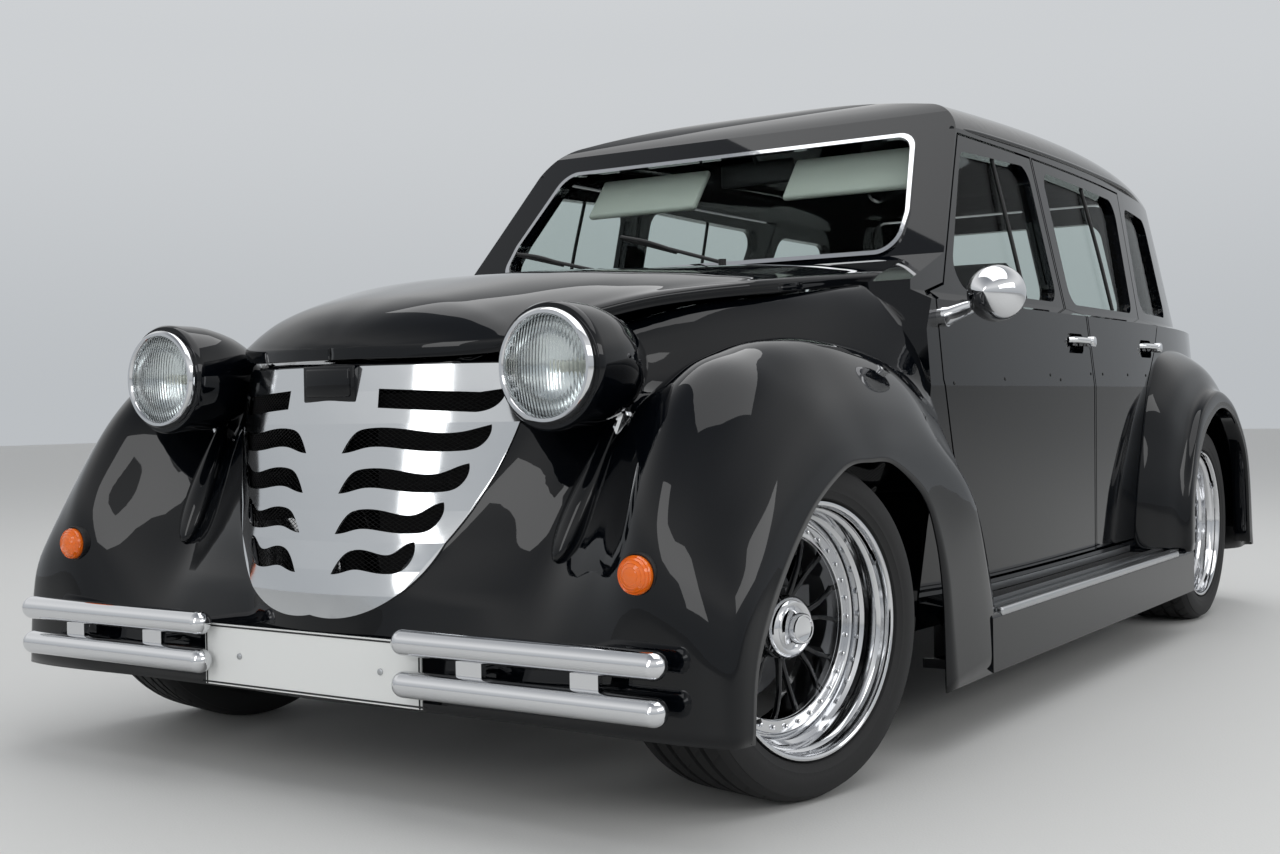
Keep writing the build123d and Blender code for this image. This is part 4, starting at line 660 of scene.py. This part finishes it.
# Sections as radius and height, with the height towards the outside of the car.
WHEEL_RIM = [(.2030, .0860), (.2135, .0905), (.2140, .0960), (.2125, .0995), (.2095, .1000),
             (.2062, .0985), (.2040, .0940), (.2030, .0860), (.2012, .0800), (.1965, .0765),
             (.1948, .0735), (.1940, .0560), (.1930, .0505), (.1900, .0475), (.1872, .0450),
             (.1864, .0400), (.1856, .0290), (.1835, .0262), (.1810, .0258), (.1795, .0225),
             (.1560, .0222), (.1560, .0100), (.1720, .0100), (.1750, -.0600), (.1950, -.0860),
             (.2060, -.1000), (.2140, -.1000), (.2140, -.0905), (.2030, -.0860), (.1810, -.0600),
             (.1810, -.0080), (.1990, .0220), (.2020, .0800), (.2030, .0860)]
BOLT_RING = [(.1565, .0215), (.1565, .0295), (.1580, .0308), (.1762, .0308), (.1778, .0292),
             (.1780, .0215), (.1565, .0215)]
BOLT_HEAD = [(0, .0305), (.0042, .0305), (.0042, .0335), (.0036, .0352), (.0018, .0362), (0, .0364)]
HUB = [(0, .0020), (.0520, .0020), (.0530, .0060), (.0530, .0240), (.0505, .0290), (.0450, .0305),
       (0, .0305)]
CAP = [(0, .0285), (.0535, .0285), (.0542, .0340), (.0528, .0440), (.0490, .0520), (.0430, .0560),
       (.0390, .0550), (.0345, .0510), (.0300, .0555), (.0270, .0640), (.0255, .0730), (.0235, .0755),
       (.0210, .0755), (.0200, .0735), (.0185, .0730), (0, .0730)]
DISC = [(.0420, .0220), (.0440, -.0590), (.1320, -.0590), (.1340, -.0605), (.1340, -.0685),
        (.1320, -.0700), (.0420, -.0700), (.0420, .0220)]
VALVE = [(0, 0), (.0045, 0), (.0045, .004), (.0030, .006), (.0030, .022), (.0038, .023), (.0038, .030),
         (0, .031)]
VALVE_RADIUS, VALVE_HEIGHT, VALVE_ANGLE, VALVE_TILT = .1875, .044, 52, -28
BOLTS, BOLT_CIRCLE = 32, .167
SPOKE_PAIRS, FIRST_PAIR, SPOKE_TAPER, SPOKE_ROUNDING = 8, 8, .7, .0012
SPOKE_LINE = (
    # reach, drift to the side, height, half width, depth
    (.040, .000, .016, .0060, .012), (.070, .0045, .0180, .0046, .010),
    (.110, .0125, .0190, .0040, .009), (.140, .0225, .0180, .0042, .009),
    (.162, .0330, .0150, .0060, .010))
rim_piece = spun("wheel_rim", WHEEL_RIM, Matrix(), 120, spun_alloy, 30)
ring_piece = spun("bolt_ring", BOLT_RING, Matrix(), 96, spun_alloy, 30)
cap_piece = spun("centre_cap", CAP, Matrix(), 64, chrome_plate, 35)
disc_piece = spun("brake_disc", DISC, Matrix(), 72, disc_iron, 30)
hub_piece = spun("wheel_hub", HUB, Matrix(), 64, black_enamel, 35)


def turned(degrees):
    """Turn round the wheel's axis."""
    return Matrix.Rotation(math.radians(degrees), 4, "Z")


def joined(pieces):
    """The pieces as one object, the first one's."""
    picked(*pieces)
    bpy.ops.object.join()
    return pieces[0]


def copied(piece, name, place):
    """Copy with its own mesh, put in place."""
    copy = bpy.data.objects.new(name, piece.data.copy())
    copy.data.name = name
    scene.collection.objects.link(copy)
    copy.data.transform(place)
    if place.determinant() < 0:
        copy.data.flip_normals()
    return copy


bolt = spun("bolt", BOLT_HEAD, Matrix.Translation((BOLT_CIRCLE, 0, 0)), 10, chrome_plate, 20)
ring_piece = joined([ring_piece] + [copied(bolt, f"bolt_{number}", turned(number * 360 / BOLTS))
                                    for number in range(BOLTS)])
valve_foot = turned(VALVE_ANGLE) @ Matrix.Translation((VALVE_RADIUS, 0, VALVE_HEIGHT))
valve_place = valve_foot @ Matrix.Rotation(math.radians(VALVE_TILT), 4, "Y")
valve = spun("valve_stem", VALVE, valve_place, 12, seat_rubber, 25)
spokes = [hub_piece]
for pair in range(SPOKE_PAIRS):
    for lean in (1, -1):
        points = []
        for reach, drift, height, half, depth in SPOKE_LINE:
            y = lean * drift
            points += [(reach, y - half, height), (reach, y + half, height),
                       (reach, y + half * SPOKE_TAPER, height - depth),
                       (reach, y - half * SPOKE_TAPER, height - depth)]
        faces = [(3, 2, 1, 0), (16, 17, 18, 19)]
        for step in range(0, 16, 4):
            for here, after in ((0, 1), (1, 2), (2, 3), (3, 0)):
                faces.append((step + here, step + after, step + 4 + after, step + 4 + here))
        mesh = bpy.data.meshes.new("spoke")
        mesh.from_pydata(points, [], faces)
        mesh.transform(turned(pair * 360 / SPOKE_PAIRS + FIRST_PAIR))
        mesh.materials.append(black_enamel)
        spoke = bpy.data.objects.new("spoke", mesh)
        scene.collection.objects.link(spoke)
        applied(spoke, "BEVEL", width=SPOKE_ROUNDING, segments=2, limit_method="ANGLE")
        bpy.ops.object.shade_smooth_by_angle(angle=math.radians(50))
        spokes.append(spoke)
centre_piece = joined(spokes)


def facing_out(x, y, z, side):
    """Places a spun piece with its axis out from the car's side."""
    return Matrix.Translation((x, side * y, z)) @ Matrix.Rotation(-side * math.radians(90), 4, "X")


FRONT_AXLE_X, REAR_AXLE_X, WHEEL_Y, AXLE_HEIGHT = 1.300, -1.125, .690, .283
KING_PIN_Y, STEERED = .560, -12
WHEEL_PARTS = (
    # pattern, label, slot
    (rim_piece, "rim", "wheel_metal"), (ring_piece, "bolt_ring", "wheel_metal"),
    (centre_piece, "centre", "paint_black"), (cap_piece, "cap", "bright_chrome"),
    (disc_piece, "disc", "wheel_metal"), (valve, "valve", "rubber_black"))
for end, axle_x in (("front", FRONT_AXLE_X), ("rear", REAR_AXLE_X)):
    for side, name in SIDES:
        place = facing_out(axle_x, WHEEL_Y, AXLE_HEIGHT, side)
        if end == "front":
            king_pin = Matrix.Translation((axle_x, side * KING_PIN_Y, 0))
            place = king_pin @ turned(STEERED) @ king_pin.inverted() @ place
        body = f"{end}_wheel_{name}"
        tyre_copy = worn_by(copied(tyre, f"tyre_cover_{end}_{name}", place), body)
        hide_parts(f"tyre_{end}_{name}")
        for part, label, slot in WHEEL_PARTS:
            copy = worn_by(copied(part, f"wheel_{label}_{end}_{name}", place), body)
            if label == "rim":
                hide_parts(f"wheel_{end}_{name}")
for pattern in (tyre, rim_piece, ring_piece, centre_piece, cap_piece, disc_piece, valve, bolt):
    bpy.data.objects.remove(pattern)

# Running boards: a black-painted board under each sill carries a ribbed black rubber mat between
# aluminium strips, with a rounded edge trim outside. A bright strip in the strips' aluminium grey runs
# along the foot of the sill. It is a painted reflection that stands in for the room mirrored in the
# glossy sill.
board_rubber, board_shader = finish_of("ribbed_board_rubber", "#121213", 0.62)
surface_noise(board_rubber, board_shader, 3.3, 0.3)
# Brushed aluminium: grey and satin, much duller than the wheels.
strip_alloy, strip_shader = finish_of("brushed_strip_aluminium", "#B9BBBD", 0.28, 1.0)
surface_noise(strip_alloy, strip_shader, 8.3, 0.1)
wear(strip_alloy, ["tread_strips"])
MAT_FRONT, MAT_REAR, MAT_INNER_Y, MAT_OUTER_Y, MAT_Z, MAT_WALL = .62, -.60, .6945, .7645, .2364, .001
RIB_HEIGHT = .0046
RIBS, RIBS_APART, RIB_CORNERS = 9, .0078, ((0, 0), (.0008, 1), (.0044, 1), (.0052, 0))
ribs = []
for number in range(RIBS):
    ribs += [(MAT_INNER_Y + number * RIBS_APART + across, MAT_Z + share * RIB_HEIGHT)
             for across, share in RIB_CORNERS]
ribs.append((MAT_OUTER_Y, MAT_Z))
for side, name in SIDES:
    points = [(x, side * y, z) for x in (MAT_FRONT, MAT_REAR) for y, z in ribs]
    count = len(ribs)
    faces = [(k, k + 1, count + k + 1, count + k)[::side] for k in range(count - 1)]
    mat = mesh_piece(f"board_mat_{name}", points, faces, board_rubber, "shell", False)
    applied(mat, "SOLIDIFY", thickness=MAT_WALL, offset=0.0)
EDGE_REAR, EDGE_FRONT, EDGE_INNER_Y, EDGE_OUTER_Y = -.668, .650, .8245, .8425
EDGE_FOOT, EDGE_TOP, EDGE_ROUNDING = .2255, .2425, .0055
# Painted reflection: a bright strip on the sill's foot that stands in for the room mirrored in the glossy
# sill.
SILL_REFLECTION_PLACES, SILL_REFLECTION_HEIGHTS = (-.600, -.45, -.25, -.05, .15, .35, .50, .630), (.2435, .2500, .2590)
SILL_REFLECTION_FROM_Y, SILL_REFLECTION_PROUD, SILL_REFLECTION_WALL, SILL_FOOT_Y = .81, .0016, .0014, .72
for side, name in SIDES:
    low_y, high_y = sorted((side * EDGE_INNER_Y, side * EDGE_OUTER_Y))
    block(f"board_edge_trim_{name}", (EDGE_REAR, low_y, EDGE_FOOT), (EDGE_FRONT, high_y, EDGE_TOP),
          EDGE_ROUNDING, strip_alloy, "shell", 4)
    points = []
    for x in SILL_REFLECTION_PLACES:
        for z in SILL_REFLECTION_HEIGHTS:
            outside_sill, inwards = Vector((x, side * SILL_REFLECTION_FROM_Y, z)), Vector((0, -side, 0))
            met, spot = nodes["body_sides"].ray_cast(outside_sill, inwards)[:2]
            points.append(Vector((x, spot.y + side * SILL_REFLECTION_PROUD if met else side * SILL_FOOT_Y, z)))
    high = len(SILL_REFLECTION_HEIGHTS)
    faces = [(k, k + 1, k + high + 1, k + high)[::side] for k in range(len(points) - high)
             if k % high < high - 1]
    reflection_strip = mesh_piece(f"sill_painted_reflection_{name}", points, faces, strip_alloy, "shell",
                            False)
    applied(reflection_strip, "SOLIDIFY", thickness=SILL_REFLECTION_WALL, offset=1.0)

# Trim holes: small holes along the crease of the doors, closed with black rubber plugs that are
# pressed in and stand a little proud.
PLUG = [(0, -.002), (.0038, -.002), (.0038, .0008), (.0025, .0016), (0, .0018)]
PLUG_PLACES = (
    # end of the car, x and z of each plug
    ("front", ((.650, .693), (.378, .703), (.092, .714), (.023, .703), (-.204, .719))),
    ("rear", ((-.300, .719), (-.520, .719), (-.700, .719))))
for end, plug_places in PLUG_PLACES:
    for side, name in SIDES:
        for number, (x, z) in enumerate(plug_places):
            door = nodes[f"door_{end}_{name}"]
            met, spot, facing = door.ray_cast(Vector((x, side, z)), Vector((0, -side, 0)))[:3]
            if met:
                plug_place = pointing(spot, facing)
                worn_by(spun(f"door_plug_{end}_{name}_{number}", PLUG, plug_place, 12, seat_rubber),
                        f"{end}_door_{name}")

# Mirror feet: tapered brackets of chromium-plated brass, screwed to the front doors, that carry the
# round mirror shells.
MIRROR_FOOT = [(0, -.004), (.019, -.004), (.019, .004), (.0165, .010), (.0150, .045), (.0105, .082),
               (.0075, .090), (0, .092)]
FOOT_AT, FOOT_WAY = (.694, .750, .827), (.006, .088, .026)
for side, name in SIDES:
    foot_place = pointing(*(Vector((x, side * y, z)) for x, y, z in (FOOT_AT, FOOT_WAY)))
    worn_by(spun(f"mirror_foot_{name}", MIRROR_FOOT, foot_place, 40, chrome_plate),
            f"front_door_{name}")

# Door handles: chromium-plated pull levers that stand out from the pressed pockets, each with a
# round button at its rear end.


def run_of(name, line, radius, material, body):
    """Round strip along a line of points."""
    curve = bpy.data.curves.new(name, "CURVE")
    curve.dimensions = "3D"
    curve.bevel_depth = radius
    curve.bevel_resolution = 2
    curve.use_fill_caps = True
    path = curve.splines.new("POLY")
    points = finer([Vector(p) for p in line], 6)
    path.points.add(len(points) - 1)
    for point, place in zip(path.points, points):
        point.co = (*place, 1)
    made = bpy.data.objects.new(name, curve)
    scene.collection.objects.link(made)
    mesh = bpy.data.meshes.new_from_object(made.evaluated_get(bpy.context.evaluated_depsgraph_get()))
    bpy.data.objects.remove(made)
    piece = bpy.data.objects.new(name, mesh)
    scene.collection.objects.link(piece)
    mesh.materials.clear()
    mesh.materials.append(material)
    mesh.shade_smooth()
    return worn_by(piece, body)


LEVER_RADIUS, BUTTON_BACK, BUTTON_Z = .0078, .046, .796
LEVER_LINE = ((.040, -.002, .800), (.026, .012, .800), (-.004, .021, .799), (-.034, .026, .798),
              (-.056, .027, .797))
PUSH_BUTTON = [(0, -.006), (.0105, -.006), (.0105, .016), (.0135, .019), (.0135, .034), (.0120, .0365),
               (.008, .0375), (0, .038)]
for end, lever_x, lever_y in (("front", -.100, .748), ("rear", -.720, .738)):
    for side, name in SIDES:
        body = f"{end}_door_{name}"
        line = [(lever_x + along, side * (lever_y + out), z) for along, out, z in LEVER_LINE]
        run_of(f"door_lever_{end}_{name}", line, LEVER_RADIUS, chrome_plate, body)
        button_place = facing_out(lever_x - BUTTON_BACK, lever_y, BUTTON_Z, side)
        worn_by(spun(f"door_button_{end}_{name}", PUSH_BUTTON, button_place, 32, chrome_plate), body)

# Wiper blades: black rubber in a pressed steel carrier that is painted black, lying on the glass
# along each arm. The carrier arches over the rubber.
OFF_GLASS = Vector((.783, 0, .622)) * .006
WIPERS = (("left", Vector((.482, -.024, 1.024)), Vector((.434, -.212, 1.075))),
          ("right", Vector((.4895, -.355, 1.014)), Vector((.451, -.526, 1.053))))
for name, start, tip in WIPERS:
    for part, lifts, radius in (("carrier", (.7, 1.9, .7), .0046), ("rubber", (-.1, -.1, -.1), .0044)):
        line = [spot + OFF_GLASS * lift for spot, lift in zip((start, (start + tip) / 2, tip), lifts)]
        run_of(f"wiper_{part}_{name}", line, radius, seat_rubber, "shell")

# Drip rails and window bars: a folded steel rail in body black over the doors, and the black rubber
# seals at the bars that part the side windows.
DRIP_RAIL = ((.262, .588, 1.281), (.10, .599, 1.287), (-.30, .603, 1.292), (-.70, .598, 1.292),
             (-1.10, .581, 1.287), (-1.44, .533, 1.272))
FRONT_PANE_EDGE = ((.045, .6785, .898), (.055, .645, 1.06), (.050, .6005, 1.238))
REAR_PANE_EDGE = ((-.645, .6765, .898), (-.632, .640, 1.07), (-.618, .6005, 1.236))
for side, name in SIDES:
    for label, line, radius, material, body, slot in (
            ("drip_rail", DRIP_RAIL, .006, black_enamel, "shell", "paint_black"),
            ("front_pane_edge", FRONT_PANE_EDGE, .005, seat_rubber, f"front_door_{name}",
             "rubber_black"),
            ("rear_pane_edge", REAR_PANE_EDGE, .005, seat_rubber, f"rear_door_{name}",
             "rubber_black")):
        run_of(f"{label}_{name}", [(x, side * y, z) for x, y, z in line], radius, material, body)

# Cabin fittings: moulded dashboard, wheel and seat bases in grained black plastic, which is dull so
# that it recedes behind the glass, with the inner mirror on its stem and two pale sun visors.
cabin_plastic, cabin_shader = finish_of("grained_cabin_plastic", "#1A1A1C", 0.55)
surface_noise(cabin_plastic, cabin_shader, 2.5, 0.3)
wear(cabin_plastic, ["dashboard", "steering_wheel", "seat_bases"])
# Vinyl over board: pale grey with a soft sheen.
visor_vinyl, visor_shader = finish_of("pale_visor_vinyl", "#C9CCC4", 0.5)
surface_noise(visor_vinyl, visor_shader, 3.3, 0.3)
SCREEN_LEAN = Matrix.Rotation(math.radians(-38), 4, "Y")
VISOR_HALF, VISOR_ROUNDING = Vector((.009, .165, .066)), .0085
VISOR_X, VISOR_Y, VISOR_SHIFT, VISOR_Z = .236, .290, .03, 1.205
for side, name in SIDES:
    visor = block(f"sun_visor_{name}", -VISOR_HALF, VISOR_HALF, VISOR_ROUNDING, visor_vinyl, "shell")
    visor_place = Matrix.Translation((VISOR_X, side * VISOR_Y + VISOR_SHIFT, VISOR_Z))
    visor.data.transform(visor_place @ SCREEN_LEAN)
    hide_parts("visors_and_mirror")
block("inner_mirror", (.150, -.085, 1.215), (.166, .125, 1.275), .007, cabin_plastic, "shell")
MIRROR_STEM = ((.160, .020, 1.262), (.168, .015, 1.300), (.176, .010, 1.350))
run_of("inner_mirror_stem", MIRROR_STEM, .006, cabin_plastic, "shell")

# Seats: two front seats with head rests on chromed rods, and a rear bench. Woven cloth is sewn in
# channels over foam, so each cushion is crowned and drawn in at its corners.
seat_cloth, cloth_shader = finish_of("woven_seat_cloth", "#242428", 0.92, 0.0, {"Sheen Weight": 0.3})
# The threads are drawn coarser than the real ones so that they show through the glass.
THREAD_MM = 2.38
weave_place = add(seat_cloth, "ShaderNodeTexCoord")
weave = add(seat_cloth, "ShaderNodeTexVoronoi", {"Scale": 1000 / THREAD_MM},
            {"Vector": weave_place.outputs["Object"]})
weave_bump = add(seat_cloth, "ShaderNodeBump", {"Strength": 0.8, "Distance": 0.0008},
                 {"Height": weave.outputs["Distance"]})
seat_cloth.node_tree.links.new(weave_bump.outputs["Normal"], cloth_shader.inputs["Normal"])
SEAT_Y, BENCH_HALF = .320, .484
SEAT_LEAN = Matrix.Translation((-.330, 0, .410)) @ Matrix.Rotation(math.radians(-14), 4, "Y")
SEAT_CUSHIONS = (
    # name, half width, low and high x, low and high z, place, channels
    ("seat_cushion", .240, (-.330, .160), (.330, .460), Matrix(), 5),
    ("seat_back", .230, (-.060, .050), (0, .470), SEAT_LEAN, 5),
    ("head_rest", .130, (-.045, .035), (.520, .640), SEAT_LEAN, 0))
cushions = []
for side, name in SIDES:
    y = side * SEAT_Y
    for label, half, (low_x, high_x), (low_z, high_z), place, channels in SEAT_CUSHIONS:
        cushions.append((f"{label}_{name}", (low_x, y - half, low_z), (high_x, y + half, high_z), place,
                         "front_seats", channels))
cushions += [
    ("bench_cushion", (-.950, -BENCH_HALF, .360), (-.520, BENCH_HALF, .490), Matrix(), "rear_bench", 9),
    ("bench_back", (-1.065, -BENCH_HALF, .360), (-.9503, BENCH_HALF, .860), Matrix(), "rear_bench", 9)]
# Shares of a cushion's half size: thickness at its edges, what the crown adds, depth of a sewn
# channel, width at the middle of its sides, pull at the corners and rounding towards its faces.
EDGE_THICK, CROWN, CHANNEL, SIDE_WIDE, CORNER_PULL, FACE_ROUNDING = .62, .36, .10, .985, .035, .02
for name, low, high, place, node, channels in cushions:
    bpy.ops.object.select_all(action="DESELECT")
    bpy.ops.mesh.primitive_cube_add(size=2)
    cushion = bpy.context.object
    cushion.name = cushion.data.name = name
    bpy.ops.object.mode_set(mode="EDIT")
    bpy.ops.mesh.select_all(action="SELECT")
    bpy.ops.mesh.subdivide(number_cuts=23)
    bpy.ops.object.mode_set(mode="OBJECT")
    low, high = Vector(low), Vector(high)
    half, middle = (high - low) / 2, (high + low) / 2
    thin = min(range(3), key=lambda axis: half[axis])
    wide = [axis for axis in range(3) if axis != thin]
    for vert in cushion.data.vertices:
        u = vert.co.copy()
        crown = (1 - u[wide[0]] ** 4) * (1 - u[wide[1]] ** 4)
        crease = 0.0
        if channels and abs(u[thin]) > .99:
            crease = CHANNEL * max(0, math.cos(math.pi * channels * u.y)) ** 24 * crown
        u[thin] *= EDGE_THICK + CROWN * crown - crease
        for axis, other in (wide, wide[::-1]):
            u[axis] *= SIDE_WIDE - CORNER_PULL * u[other] ** 2 - FACE_ROUNDING * (1 - abs(u[thin]))
        vert.co = middle + Vector([u[axis] * half[axis] for axis in range(3)])
    cushion.data.transform(place)
    cushion.data.materials.append(seat_cloth)
    applied(cushion, "SUBSURF", levels=1, render_levels=1)
    cushion.data.shade_smooth()
    worn_by(cushion, "shell")
    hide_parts(node)
ROD_LOW, ROD_MIDDLE, ROD_TOP, ROD_RADIUS = .44, .49, .54, .006
for side, name in SIDES:
    for label, shift in (("in", -.06), ("out", .06)):
        rod = [SEAT_LEAN @ Vector((-.005, side * SEAT_Y + shift, height))
               for height in (ROD_LOW, ROD_MIDDLE, ROD_TOP)]
        run_of(f"rest_rod_{name}_{label}", rod, ROD_RADIUS, chrome_plate, "shell")

# Floor, chassis, axles, exhaust and engine: steel and iron under brushed black chassis paint, which
# is dull and a little uneven. The wiper arms are painted the same.
chassis_paint, chassis_shader = finish_of("brushed_chassis_black", "#131314", 0.6)
surface_noise(chassis_paint, chassis_shader, 8.3, 0.4)
wear(chassis_paint, ["chassis", "floor_pan", "rear_wheelhouses", "exhaust", "wipers", "engine_block"])
# Cast steel left bare on the uprights: grey, with the rough skin of the sand mould.
cast_steel, cast_shader = finish_of("cast_steel_grey", "#8A8B8D", 0.42, 0.8)
surface_noise(cast_steel, cast_shader, 7.1, 0.5)
wear(cast_steel, ["knuckle_left", "knuckle_right"])

# Number plates: pressed aluminium blanks in glossy white enamel with a raised black rim, each held
# by two screws.
plate_enamel, plate_shader = finish_of("plate_enamel", "#E9EAE8", 0.3)
surface_noise(plate_enamel, plate_shader, 11.1, 0.1)
wear(plate_enamel, ["front_plate", "rear_plate"])
RIM_Y, RIM_Z, RIM_RADIUS, SCREW_Y = .256, .051, .0016, .17
RIM_CORNERS = ((-RIM_Y, -RIM_Z), (RIM_Y, -RIM_Z), (RIM_Y, RIM_Z), (-RIM_Y, RIM_Z), (-RIM_Y, -RIM_Z))
PLATE_SCREW = [(0, -.001), (.006, -.001), (.0055, .002), (.003, .0032), (0, .0035)]
PLATES = (
    # end of the car, x of its face, way it faces, middle height, body
    ("front", 1.727, 1, .222, "shell"),
    ("rear", -1.701, -1, .520, "tailgate"))
for end, face_x, way, height, body in PLATES:
    corners = [Vector((face_x, y, height + z)) for y, z in RIM_CORNERS]
    line = []
    for start, stop in zip(corners, corners[1:]):
        line += [start.lerp(stop, share) for share in (0, .01, .5, .99)]
    run_of(f"{end}_plate_rim", line + [corners[0]], RIM_RADIUS, seat_rubber, body)
    for label, y in (("r", -SCREW_Y), ("l", SCREW_Y)):
        screw_place = facing_along((face_x, y, height), way)
        worn_by(spun(f"{end}_plate_screw_{label}", PLATE_SCREW, screw_place, 20, strip_alloy), body)

low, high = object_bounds()
